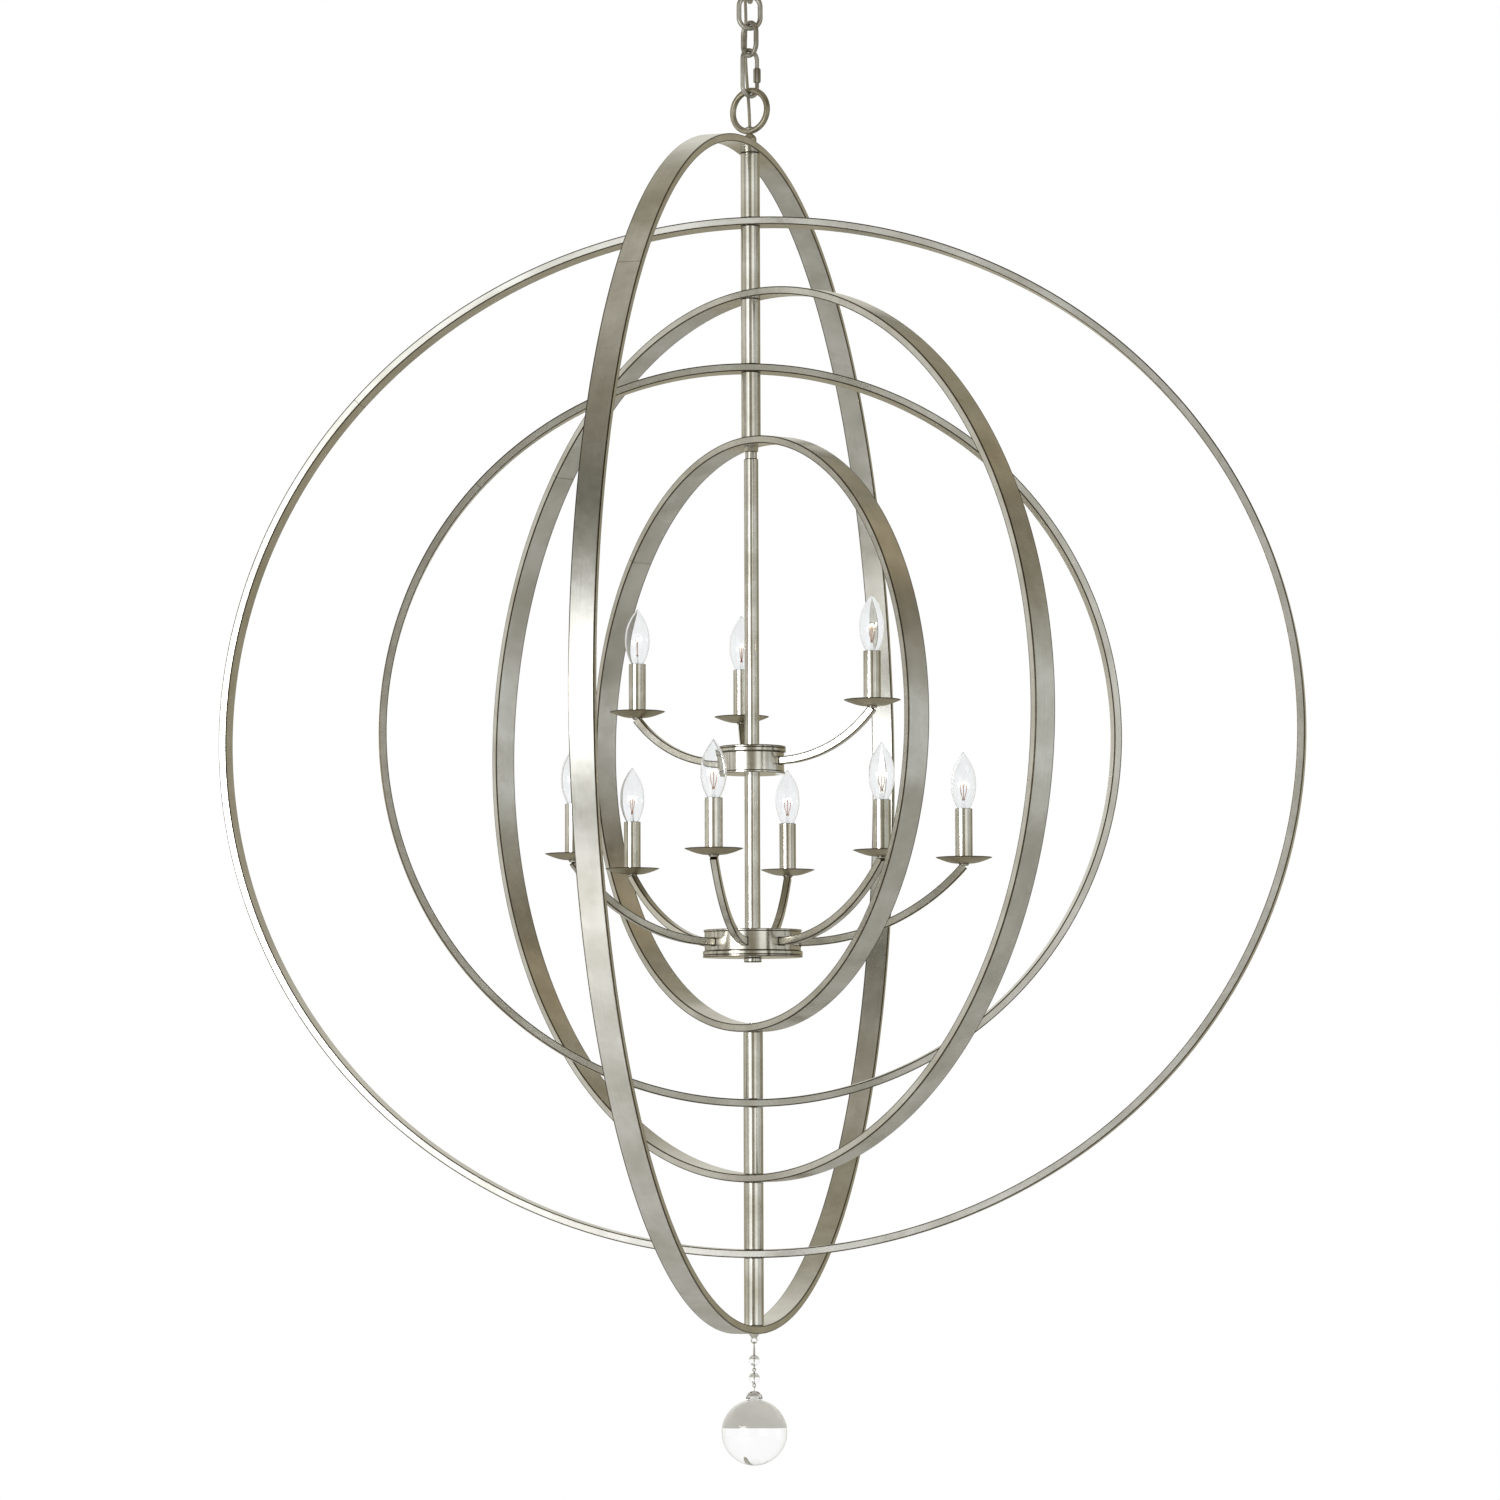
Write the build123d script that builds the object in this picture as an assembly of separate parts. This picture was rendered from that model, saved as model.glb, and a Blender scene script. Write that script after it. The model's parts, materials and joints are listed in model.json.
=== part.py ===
from build123d import *
import os
from math import atan, cos, pi, radians, sin, sqrt, tan

os.makedirs("parts", exist_ok=True)

# Nine-light orb chandelier: five flat-band hoops on one vertical axis, hung from a ceiling chain.
# Lengths are in millimetres. Heights are written from the common centre of the hoops, +Z up. The finished
# model is moved so that its origin lies on the ceiling plane, on the axis, and everything hangs below it.

# ---- driving dimensions: hoops ----
HOOP_COUNT = 5
OUTER_HOOP_RADIUS = 762.0  # 60 in overall diameter
HOOP_STEP = 95.25  # each hoop is 7 1/2 in smaller in diameter than the last
BAND_WIDTH = 30.5
BAND_THICKNESS = 10.0
BAND_WALL = 1.6  # the band is rectangular tube
HOOP_ANGLES = (75.5, -10.4, -52.7, 5.0, -58.0)  # direction of each hoop's plane about the axis
HOOP_STRETCH = (1.0, 1.057, 1.0, 1.0, 1.0)  # the second hoop is a little wider than tall

# ---- driving dimensions: clearances ----
BODY_GAP = 0.3  # between faces of different bodies
ROD_CLEARANCE = 0.05  # radial, hoop turning on its rod
LINK_GAP = 0.5  # between the bearing wires of two links
EYE_GAP = 0.25  # the same in the fine wire of the crystal drop
THREAD_SLIP = 0.02  # radial, between a threaded part and its nut

# ---- driving dimensions: rods, tubes and stem ----
ROD_D = 10.3  # 1/8 IP pipe
ROD_BORE_D = 6.8
ROD_IN_STEM = 12.0
ROD_IN_FINIAL = 3.0
ROD_ABOVE_INNER_HOOP = 1.5  # lower rod, past the inner face of the inner hoop
SPACER_D = 25.0
SPACER_WALL = 1.5
LOCK_NUT_D = 18.4
LOCK_NUT_HEIGHT = 7.0
NECK_D = 15.3
NECK_HEIGHT = 10.0
UPPER_STEM_D = 18.6
LOWER_STEM_D = 20.0
STEM_WALL = 1.5
END_CAP_D = 22.4
END_CAP_HEIGHT = 6.0

# ---- driving dimensions: hubs and arms ----
UPPER_HUB_TOP = -16.5
UPPER_HUB_RADIUS = 41.0
LOWER_HUB_BOTTOM = -286.5
LOWER_HUB_RADIUS = 61.5
HUB_HEIGHT = 35.5
HUB_COVER_HEIGHT = 8.2
HUB_COVER_LIP = 2.2  # the cover stands this far outside the hub wall
HUB_RIM_HEIGHT = 3.0
HUB_RIM_LIP = 1.2
HUB_WALL = 3.0
HUB_STEP = 2.0  # the cover drops this far into the shell
HUB_GROOVE_SHARE = 0.62  # height of the cover's groove over the cover's height
HUB_GROOVE_HEIGHT = 0.8
HUB_GROOVE_DEPTH = 0.6
ARM_HEIGHT = 10.0
ARM_WIDTH = 9.0
ARM_INSIDE_HUB = 9.0
ARM_SET_BACK = 1.5  # from the middle of the hub's height, away from its cover
UPPER_ARM_ANGLES = (-28.0, 94.5, 150.0)
LOWER_ARM_ANGLES = (-145.0, -100.0, -54.0, -8.0, 80.0, 126.0)
UPPER_TIP_RADIUS = 172.0
LOWER_TIP_RADIUS = 271.0
UPPER_RIM_HEIGHT = 35.8  # rim of the upper drip pans
LOWER_RIM_HEIGHT = -161.5

# ---- driving dimensions: one candle light ----
CUP_D = 13.0
CUP_HEIGHT = 3.0
PAN_RADIUS = 36.0
PAN_DEPTH = 7.5
PAN_SHEET = 1.2
PAN_FLAT_RADIUS = 12.0
PAN_BELLY = 0.62  # depth of the belly's middle over the whole depth
PAN_LIP = 0.4  # the lip's inner edge stands this far above its outer edge
SLEEVE_D = 22.2
SLEEVE_WALL = 1.0
SLEEVE_ABOVE_RIM = 62.0
SOCKET_D = 17.0
SOCKET_BORE_D = 12.6
SOCKET_LENGTH = 44.0
SOCKET_BELOW_TOP = 11.0  # below the top of the sleeve
SOCKET_FLOOR = 14.0
SOCKET_FOOT_D = 8.0
BULB_BASE_D = 12.0
BULB_BASE_LENGTH = 18.0
BULB_BASE_SHEET = 0.8
BULB_BASE_FLOOR = 8.0
BULB_BASE_BELOW_TOP = 7.0
BULB_CONTACT = (2.0, 4.0, 2.0)  # contact tip: bottom radius, top radius, height
BULB_HEIGHT = 72.0  # glass above the sleeve
BULB_MAX_RADIUS = 16.0
BULB_NECK_RADIUS = 7.6
GLASS_WALL = 0.8
GLASS_FOOT = 3.0  # straight neck inside the base
# glass outline: radius over the largest radius, and height over the glass's height above the sleeve
GLASS_LOW = (0.86, 0.16)
GLASS_WIDEST = (1.0, 0.40)
GLASS_SHOULDER = (0.74, 0.71)
GLASS_TIP = (0.30, 0.92)

# ---- driving dimensions: suspension ----
KNUCKLE_D = 17.0
KNUCKLE_FLAT_SHARE = 0.42  # height of the ball's centre above its flat, over its diameter
LOOP_OUTER_D = 61.0
LOOP_WIRE_D = 8.0
LOOP_ANGLE = -34.0
LOOP_RISE = 15.2  # lowest point of the loop above the knuckle's flat
LOOP_BOSS_D = 12.5
LOOP_BOSS_PROUD = 0.8  # above the loop's lower wire
QUICK_LENGTH = 66.0
QUICK_WIDTH = 30.0
QUICK_WIRE_D = 5.6
QUICK_ANGLE = 40.0
GATE_NUT_D = 9.9
GATE_NUT_LENGTH = 19.0
GATE_GAP = 7.0
GATE_SHARE = 0.48  # height of the nut's middle over the link's length
GATE_LAP = 1.0  # thread the nut holds below the gap
GATE_NUT_CHAMFER = 0.8
LINK_LENGTH = 49.0
LINK_WIDTH = 34.0
LINK_WIRE_D = 6.5
LINK_ANGLES = (80.0, 5.0, -53.0)  # top link first
COLLAR_LOOP_OUTER_D = 38.0
COLLAR_LOOP_WIRE_D = 6.0
COLLAR_LOOP_ANGLE = -10.0
COLLAR_D = 24.0
COLLAR_LOOP_BASE = 11.0
COLLAR_BORE_FLOOR = 4.0  # solid metal below the nipple's thread

# ---- driving dimensions: ceiling fitting ----
CANOPY_RADIUS = 63.5
CANOPY_DEPTH = 25.0
CANOPY_RIM = 5.0
CANOPY_SHEET = 1.2
CANOPY_FLAT = 0.30  # radius of the flat underside over the canopy's radius
CROSSBAR_LENGTH = 104.0
CROSSBAR_WIDTH = 20.0
CROSSBAR_THICKNESS = 2.5
CROSSBAR_SPACING = 88.9
CROSSBAR_HOLE_D = 5.2
NIPPLE_NUT_D = 16.0
NIPPLE_NUT_HEIGHT = 4.0

# ---- driving dimensions: supply cord ----
CORD_D = 4.2
CORD_BORE_D = 6.6

# ---- driving dimensions: crystal drop ----
FINIAL_D = 14.0
FINIAL_HEIGHT = 5.5
EYE_SINK = 0.4  # how deep an eye is rooted in the piece above it
EYE_RADIUS = 3.6
EYE_WIRE_D = 1.6
BEAD_D = 14.0
BEAD_BORE_D = 1.9
BEAD_CENTRES = (-796.0, -818.5)
SMALL_EYE_RADIUS = 1.9
SMALL_EYE_WIRE_D = 1.1
CRIMP_D = 2.6
BAIL_RADIUS = 3.4
BAIL_SINK = 0.3
CRYSTAL_D = 83.0
CRYSTAL_BOTTOM = -928.0
CRYSTAL_CAP_D = 21.0
CRYSTAL_CAP_HEIGHT = 11.0
CRYSTAL_CAP_BULGE = (0.42, 0.38)  # radius over diameter, drop over height, half-way down its side

# ---- derived heights, from the centre of the hoops ----
HOOP_RADII = [OUTER_HOOP_RADIUS - k * HOOP_STEP for k in range(HOOP_COUNT)]
INNER_TOP = HOOP_RADII[-1] - BAND_THICKNESS
KNUCKLE_BASE = OUTER_HOOP_RADIUS + BODY_GAP
KNUCKLE_CENTRE = KNUCKLE_BASE + KNUCKLE_FLAT_SHARE * KNUCKLE_D
LOOP_RADIUS = (LOOP_OUTER_D - LOOP_WIRE_D) / 2
LOOP_CENTRE = KNUCKLE_BASE + LOOP_RISE + LOOP_OUTER_D / 2
LOOP_TOP_WIRE = LOOP_CENTRE + LOOP_RADIUS
QUICK_BOTTOM = LOOP_TOP_WIRE - LOOP_WIRE_D / 2 - LINK_GAP - QUICK_WIRE_D
QUICK_TOP_WIRE = QUICK_BOTTOM + QUICK_LENGTH - QUICK_WIRE_D / 2


def link_bottom_above(top_wire, wire_d):
    """Lowest point of a chain link that a piece hangs from, given that piece's top wire."""
    return top_wire - wire_d / 2 - LINK_GAP - LINK_WIRE_D


LINK_3_BOTTOM = link_bottom_above(QUICK_TOP_WIRE, QUICK_WIRE_D)
LINK_2_BOTTOM = link_bottom_above(LINK_3_BOTTOM + LINK_LENGTH - LINK_WIRE_D / 2, LINK_WIRE_D)
LINK_1_BOTTOM = link_bottom_above(LINK_2_BOTTOM + LINK_LENGTH - LINK_WIRE_D / 2, LINK_WIRE_D)
LINK_BOTTOMS = (LINK_1_BOTTOM, LINK_2_BOTTOM, LINK_3_BOTTOM)
COLLAR_LOOP_RADIUS = (COLLAR_LOOP_OUTER_D - COLLAR_LOOP_WIRE_D) / 2
LINK_1_TOP = LINK_1_BOTTOM + LINK_LENGTH
COLLAR_LOOP_BOTTOM = LINK_1_TOP - LINK_WIRE_D - LINK_GAP - COLLAR_LOOP_WIRE_D
COLLAR_LOOP_CENTRE = COLLAR_LOOP_BOTTOM + COLLAR_LOOP_OUTER_D / 2
COLLAR_LOOP_TOP = COLLAR_LOOP_BOTTOM + COLLAR_LOOP_OUTER_D
CANOPY_BOTTOM = COLLAR_LOOP_TOP + COLLAR_LOOP_BASE - COLLAR_LOOP_WIRE_D
CEILING = CANOPY_BOTTOM + CANOPY_DEPTH
STEM_TOP = INNER_TOP - BODY_GAP - LOCK_NUT_HEIGHT - NECK_HEIGHT
UPPER_ARM_LEVEL = UPPER_HUB_TOP - HUB_HEIGHT / 2 - ARM_SET_BACK
LOWER_ARM_LEVEL = LOWER_HUB_BOTTOM + HUB_HEIGHT / 2 + ARM_SET_BACK
CRYSTAL_CENTRE = CRYSTAL_BOTTOM + CRYSTAL_D / 2


# ---- shape helpers ----
def disc(diameter, low, high):
    """Solid cylinder on the axis between two heights."""
    return Pos(0, 0, (low + high) / 2) * Cylinder(diameter / 2, high - low)


def tube(outer_d, inner_d, low, high):
    """Hollow cylinder on the axis between two heights."""
    return disc(outer_d, low, high) - disc(inner_d, low - 1, high + 1)


def turned(profile):
    """Solid of revolution about the axis from a closed wire drawn in the XZ plane."""
    return revolve(make_face(profile), Axis.Z)


def ring(radius, wire_d, centre_height, plane_angle):
    """Round wire ring standing upright, its plane turned to plane_angle about the axis."""
    torus = Rot(90, 0, 0) * Torus(radius, wire_d / 2)
    return Pos(0, 0, centre_height) * Rot(0, 0, plane_angle) * torus


def oval_link(length, width, wire_d, bottom, plane_angle):
    """Closed link with straight legs and round ends, standing upright."""
    end_radius = (width - wire_d) / 2
    straight = (length - width) / 2
    right = Line((end_radius, 0, -straight), (end_radius, 0, straight))
    top = ThreePointArc(right @ 1, (0, 0, straight + end_radius), (-end_radius, 0, straight))
    left = Line(top @ 1, (-end_radius, 0, -straight))
    base = ThreePointArc(left @ 1, (0, 0, -straight - end_radius), right @ 0)
    path = Wire([right, top, left, base])
    section = Plane(origin=right @ 0, z_dir=(0, 0, 1)) * Circle(wire_d / 2)
    return Pos(0, 0, bottom + length / 2) * Rot(0, 0, plane_angle) * sweep(section, path=path)


def band_sag(radius, reach):
    """How far a hoop's face has curved away, reach from its highest point."""
    return radius - sqrt(radius**2 - reach**2)


# ---- hoops ----
def hoop_blank(width_radius, height_radius, inset):
    """Elliptical band; inset shrinks its section on every side, for the hollow of the tube."""
    outer = Ellipse(width_radius - inset, height_radius - inset)
    inner = Ellipse(
        width_radius - BAND_THICKNESS + inset, height_radius - BAND_THICKNESS + inset
    )
    return extrude(Plane.XZ * (outer - inner), BAND_WIDTH / 2 - inset, both=True)


def hoop(index):
    """One rectangular-tube hoop, drilled through at top and bottom for its rods."""
    height_radius = HOOP_RADII[index]
    width_radius = height_radius * HOOP_STRETCH[index]
    band = hoop_blank(width_radius, height_radius, 0)
    band -= hoop_blank(width_radius, height_radius, BAND_WALL)
    drill = Cylinder(ROD_D / 2 + ROD_CLEARANCE, 4 * BAND_THICKNESS)
    band -= Pos(0, 0, height_radius) * drill
    band -= Pos(0, 0, -height_radius) * drill
    return Rot(0, 0, HOOP_ANGLES[index]) * band


def spacer(index, side):
    """Tube between hoop index and the next one in; side is 1 above the centre and -1 below."""
    sag = band_sag(HOOP_RADII[index] - BAND_THICKNESS, SPACER_D / 2)
    far = HOOP_RADII[index] - BAND_THICKNESS - sag - BODY_GAP
    near = HOOP_RADII[index + 1] + BODY_GAP
    low, high = sorted((side * near, side * far))
    return tube(SPACER_D, SPACER_D - 2 * SPACER_WALL, low, high)


def hex_nut(across_corners, low, high):
    """Hexagonal nut bored for the rod, its corners eased."""
    blank = Pos(0, 0, low) * extrude(RegularPolygon(across_corners / 2, 6), high - low)
    return blank - disc(ROD_D, low - 1, high + 1)


def upper_rod():
    """Hollow rod from the knuckle down into the stem."""
    return tube(ROD_D, ROD_BORE_D, STEM_TOP - ROD_IN_STEM, KNUCKLE_CENTRE)


def lower_rod():
    """Hollow rod that clamps the lower tubes, from inside the inner hoop to the finial."""
    foot = -OUTER_HOOP_RADIUS - ROD_IN_FINIAL
    return tube(ROD_D, ROD_BORE_D, foot, -INNER_TOP + ROD_ABOVE_INNER_HOOP)


# ---- stem and hubs ----
def lock_nut():
    """Round-edged hex nut under the inner hoop."""
    top = INNER_TOP - BODY_GAP - band_sag(INNER_TOP, LOCK_NUT_D / 2)
    return hex_nut(LOCK_NUT_D, top - LOCK_NUT_HEIGHT, top)


def neck():
    """Coupling between the lock nut and the stem."""
    high = INNER_TOP - BODY_GAP - LOCK_NUT_HEIGHT - band_sag(INNER_TOP, LOCK_NUT_D / 2)
    return tube(NECK_D, ROD_D, STEM_TOP, high)


def upper_stem():
    """Tube from the neck into the upper hub."""
    middle = UPPER_HUB_TOP - HUB_HEIGHT / 2
    return tube(UPPER_STEM_D, UPPER_STEM_D - 2 * STEM_WALL, middle, STEM_TOP)


def lower_stem():
    """Tube from the upper hub through the lower hub."""
    middle = UPPER_HUB_TOP - HUB_HEIGHT / 2
    return tube(LOWER_STEM_D, LOWER_STEM_D - 2 * STEM_WALL, LOWER_HUB_BOTTOM, middle)


def hub_shell(radius, bore_d):
    """Cup-shaped hub with a thin rim at its closed end, open at height 0 and closed below."""
    depth = HUB_HEIGHT - HUB_COVER_HEIGHT
    wall = disc(2 * radius, -depth, 0)
    wall += disc(2 * (radius + HUB_RIM_LIP), -depth, -depth + HUB_RIM_HEIGHT)
    hollow = disc(2 * (radius - HUB_WALL), -depth + HUB_WALL, 1)
    return wall - hollow - disc(bore_d, -depth - 1, 1)


def hub_cover(radius, bore_d):
    """Lid with an overhanging edge and a step that drops into the shell."""
    lid = disc(2 * (radius + HUB_COVER_LIP), 0, HUB_COVER_HEIGHT)
    groove_low = HUB_GROOVE_SHARE * HUB_COVER_HEIGHT
    groove_top = groove_low + HUB_GROOVE_HEIGHT
    groove = disc(4 * radius, groove_low, groove_top)
    groove -= disc(2 * (radius + HUB_COVER_LIP - HUB_GROOVE_DEPTH), groove_low, groove_top)
    step = disc(2 * (radius - HUB_WALL), -HUB_STEP, 0)
    return lid - groove + step - disc(bore_d, -HUB_STEP - 1, HUB_COVER_HEIGHT + 1)


def place_upper_hub(piece):
    """Upper hub: lid on top, so it stands the way it is drawn."""
    return Pos(0, 0, UPPER_HUB_TOP - HUB_COVER_HEIGHT) * piece


def place_lower_hub(piece):
    """Lower hub: the same pair turned over, lid below."""
    return Pos(0, 0, LOWER_HUB_BOTTOM + HUB_COVER_HEIGHT) * Rot(180, 0, 0) * piece


def end_cap():
    """Flat cap that closes the stem under the lower hub."""
    low = LOWER_HUB_BOTTOM - END_CAP_HEIGHT
    return disc(END_CAP_D, low, LOWER_HUB_BOTTOM)


# ---- arms ----
def arm(level, hub_radius, tip_radius, rim_height, angle):
    """Square bar that leaves the hub level and curves up in one arc to its cup."""
    tip_height = rim_height - PAN_DEPTH - CUP_HEIGHT
    reach = tip_radius - hub_radius
    rise = tip_height - level
    sweep_angle = 2 * atan(rise / reach)
    radius = reach / sin(sweep_angle)
    overrun = sweep_angle + ARM_HEIGHT / radius
    outer, inner = radius + ARM_HEIGHT / 2, radius - ARM_HEIGHT / 2
    start, end = -pi / 2, -pi / 2 + overrun
    middle = (start + end) / 2

    def at(r, turn):
        return (hub_radius + r * cos(turn), level + radius + r * sin(turn))

    low_arc = ThreePointArc(at(outer, start), at(outer, middle), at(outer, end))
    end_line = Line(at(outer, end), at(inner, end))
    high_arc = ThreePointArc(at(inner, end), at(inner, middle), at(inner, start))
    close = Line(at(inner, start), at(outer, start))
    curve = make_face([low_arc, end_line, high_arc, close])
    above = Pos(tip_radius, tip_height + ARM_HEIGHT) * Rectangle(tip_radius, 2 * ARM_HEIGHT)
    stub = Pos(hub_radius - ARM_INSIDE_HUB / 2, level) * Rectangle(ARM_INSIDE_HUB, ARM_HEIGHT)
    outline = curve - above + stub
    bar = extrude(Plane.XZ * outline, ARM_WIDTH / 2, both=True)
    return Rot(0, 0, angle) * bar


def upper_arm(angle):
    return arm(UPPER_ARM_LEVEL, UPPER_HUB_RADIUS, UPPER_TIP_RADIUS, UPPER_RIM_HEIGHT, angle)


def lower_arm(angle):
    return arm(LOWER_ARM_LEVEL, LOWER_HUB_RADIUS, LOWER_TIP_RADIUS, LOWER_RIM_HEIGHT, angle)


# ---- one candle light, drawn on the axis with the drip pan's rim at height 0 ----
def arm_cup():
    """Small round seat between the arm and the drip pan."""
    return disc(CUP_D, -PAN_DEPTH - CUP_HEIGHT, -PAN_DEPTH)


def drip_pan():
    """Shallow round dish with a flat floor and a belly curved in one arc."""
    middle_radius = (PAN_FLAT_RADIUS + PAN_RADIUS) / 2
    middle_height = -PAN_BELLY * PAN_DEPTH
    underside = Line((0, 0, -PAN_DEPTH), (PAN_FLAT_RADIUS, 0, -PAN_DEPTH))
    belly = ThreePointArc(underside @ 1, (middle_radius, 0, middle_height), (PAN_RADIUS, 0, 0))
    lip = Line(belly @ 1, (PAN_RADIUS - PAN_SHEET, 0, PAN_LIP))
    floor_edge = (PAN_FLAT_RADIUS, 0, PAN_SHEET - PAN_DEPTH)
    inside_middle = (middle_radius - PAN_SHEET / 4, 0, middle_height + PAN_SHEET)
    inside = ThreePointArc(lip @ 1, inside_middle, floor_edge)
    floor = Line(inside @ 1, (0, 0, PAN_SHEET - PAN_DEPTH))
    axis = Line(floor @ 1, underside @ 0)
    return turned([underside, belly, lip, inside, floor, axis])


def candle_sleeve():
    """Metal candle cover, standing on the pan's floor."""
    low = PAN_SHEET - PAN_DEPTH
    return tube(SLEEVE_D, SLEEVE_D - 2 * SLEEVE_WALL, low, SLEEVE_ABOVE_RIM)


def lamp_socket():
    """Candelabra socket inside the sleeve: a cup with a foot that stands on the pan."""
    low = PAN_SHEET - PAN_DEPTH
    top = SLEEVE_ABOVE_RIM - SOCKET_BELOW_TOP
    cup = disc(SOCKET_D, top - SOCKET_LENGTH, top)
    cup -= disc(SOCKET_BORE_D, top - SOCKET_LENGTH + SOCKET_FLOOR, top + 1)
    return cup + disc(SOCKET_FOOT_D, low, top - SOCKET_LENGTH)


def bulb_base():
    """Screw base, its contact tip towards the socket floor."""
    top = SLEEVE_ABOVE_RIM - BULB_BASE_BELOW_TOP
    low = top - BULB_BASE_LENGTH
    shell = disc(BULB_BASE_D, low, top)
    contact = Pos(0, 0, low - BULB_CONTACT[2] / 2) * Cone(*BULB_CONTACT)
    return shell + contact - disc(BULB_BASE_D - 2 * BULB_BASE_SHEET, low + BULB_BASE_FLOOR, top + 1)


def torpedo(inset):
    """Half outline of the bulb's glass from its neck to its tip, shrunk inwards by inset."""
    foot = SLEEVE_ABOVE_RIM - BULB_BASE_BELOW_TOP
    tip = SLEEVE_ABOVE_RIM + BULB_HEIGHT - inset
    neck_radius = BULB_BASE_D / 2 - inset
    neck_line = Line((neck_radius, 0, foot - inset), (neck_radius, 0, foot + GLASS_FOOT))
    low, widest, shoulder, near_tip = (
        (r * BULB_MAX_RADIUS, SLEEVE_ABOVE_RIM + h * BULB_HEIGHT)
        for r, h in (GLASS_LOW, GLASS_WIDEST, GLASS_SHOULDER, GLASS_TIP)
    )
    outline = Spline(
        neck_line @ 1,
        (BULB_NECK_RADIUS - inset, 0, SLEEVE_ABOVE_RIM),
        (low[0] - inset, 0, low[1]),
        (widest[0] - inset, 0, widest[1]),
        (shoulder[0] - inset, 0, shoulder[1]),
        (near_tip[0] - inset / 2, 0, near_tip[1] - inset),
        (0, 0, tip),
        tangents=[(0, 0, 1), (-1, 0, 0.25)],
    )
    axis = Line((0, 0, tip), (0, 0, foot - inset))
    base = Line((0, 0, foot - inset), (neck_radius, 0, foot - inset))
    return turned([neck_line, outline, axis, base])


def bulb_glass():
    """Clear torpedo envelope, open at its neck inside the base."""
    return torpedo(0) - torpedo(GLASS_WALL)


def at_every_light(piece):
    """The piece repeated at all nine arm tips."""
    spots = [(UPPER_TIP_RADIUS, UPPER_RIM_HEIGHT, a) for a in UPPER_ARM_ANGLES]
    spots += [(LOWER_TIP_RADIUS, LOWER_RIM_HEIGHT, a) for a in LOWER_ARM_ANGLES]
    return [Rot(0, 0, a) * Pos(r, 0, z) * piece for r, z, a in spots]


# ---- suspension ----
def top_loop():
    """Cast loop on a round knuckle, bored for the cord and seated on the rod."""
    ball = Pos(0, 0, KNUCKLE_CENTRE) * Sphere(KNUCKLE_D / 2)
    ball -= disc(2 * KNUCKLE_D, KNUCKLE_BASE - KNUCKLE_D, KNUCKLE_BASE)
    loop = ring(LOOP_RADIUS, LOOP_WIRE_D, LOOP_CENTRE, LOOP_ANGLE)
    boss_top = LOOP_CENTRE - LOOP_RADIUS + LOOP_WIRE_D / 2 + LOOP_BOSS_PROUD
    boss = disc(LOOP_BOSS_D, KNUCKLE_CENTRE, boss_top)
    body = ball + loop + boss
    body -= disc(CORD_BORE_D, KNUCKLE_CENTRE - 2, boss_top + 1)
    return body - disc(ROD_D, KNUCKLE_BASE - 1, KNUCKLE_CENTRE)


def gate_centre():
    """Height of the middle of the quick link's gate nut."""
    return QUICK_BOTTOM + GATE_SHARE * QUICK_LENGTH


def gate_leg_place():
    """Position of the quick link's gated leg."""
    leg = (QUICK_WIDTH - QUICK_WIRE_D) / 2
    turn = radians(QUICK_ANGLE)
    return leg * cos(turn), leg * sin(turn)


def quick_link():
    """Long steel link with a gap in one leg that the gate nut bridges."""
    link = oval_link(QUICK_LENGTH, QUICK_WIDTH, QUICK_WIRE_D, QUICK_BOTTOM, QUICK_ANGLE)
    x, y = gate_leg_place()
    gap_low = gate_centre() - GATE_NUT_LENGTH / 2 + GATE_LAP
    gap = Pos(x, y, gap_low + GATE_GAP / 2) * Cylinder(QUICK_WIRE_D, GATE_GAP)
    return link - gap


def gate_nut():
    """Long sleeve nut on the gated leg."""
    x, y = gate_leg_place()
    nut = Cylinder(GATE_NUT_D / 2, GATE_NUT_LENGTH)
    nut = chamfer(nut.edges().filter_by(GeomType.CIRCLE), GATE_NUT_CHAMFER)
    nut -= Cylinder(QUICK_WIRE_D / 2 + THREAD_SLIP, GATE_NUT_LENGTH + 2)
    return Pos(x, y, gate_centre()) * nut


def chain_link(index):
    """Plain oval chain link; index 0 is the top one."""
    return oval_link(
        LINK_LENGTH, LINK_WIDTH, LINK_WIRE_D, LINK_BOTTOMS[index], LINK_ANGLES[index]
    )


def collar_loop():
    """Loop on a round screw collar that holds the canopy up, bored for the cord."""
    loop = ring(COLLAR_LOOP_RADIUS, COLLAR_LOOP_WIRE_D, COLLAR_LOOP_CENTRE, COLLAR_LOOP_ANGLE)
    collar_low = COLLAR_LOOP_TOP - COLLAR_LOOP_WIRE_D
    body = loop + disc(COLLAR_D, collar_low, CANOPY_BOTTOM)
    body -= disc(CORD_BORE_D, collar_low - 1, CANOPY_BOTTOM + 1)
    return body - disc(ROD_D, collar_low + COLLAR_BORE_FLOOR, CANOPY_BOTTOM + 1)


# ---- ceiling fitting ----
def canopy_form(inset):
    """Solid dome of the canopy, shrunk by inset for its inside."""
    radius = CANOPY_RADIUS - inset
    low = CANOPY_BOTTOM + inset
    rim = CEILING - CANOPY_RIM
    flat_radius = CANOPY_FLAT * radius
    run, rise = radius - flat_radius, rim - low
    arc_radius = (run**2 + rise**2) / (2 * rise)
    half_turn = atan(rise / run)
    arc_middle = (
        flat_radius + arc_radius * sin(half_turn),
        0,
        low + arc_radius * (1 - cos(half_turn)),
    )
    wall = Line((radius, 0, CEILING), (radius, 0, rim))
    shoulder = ThreePointArc((radius, 0, rim), arc_middle, (flat_radius, 0, low))
    face = Line(shoulder @ 1, (0, 0, low))
    axis = Line((0, 0, low), (0, 0, CEILING))
    top = Line((0, 0, CEILING), (radius, 0, CEILING))
    return turned([wall, shoulder, face, axis, top])


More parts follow.
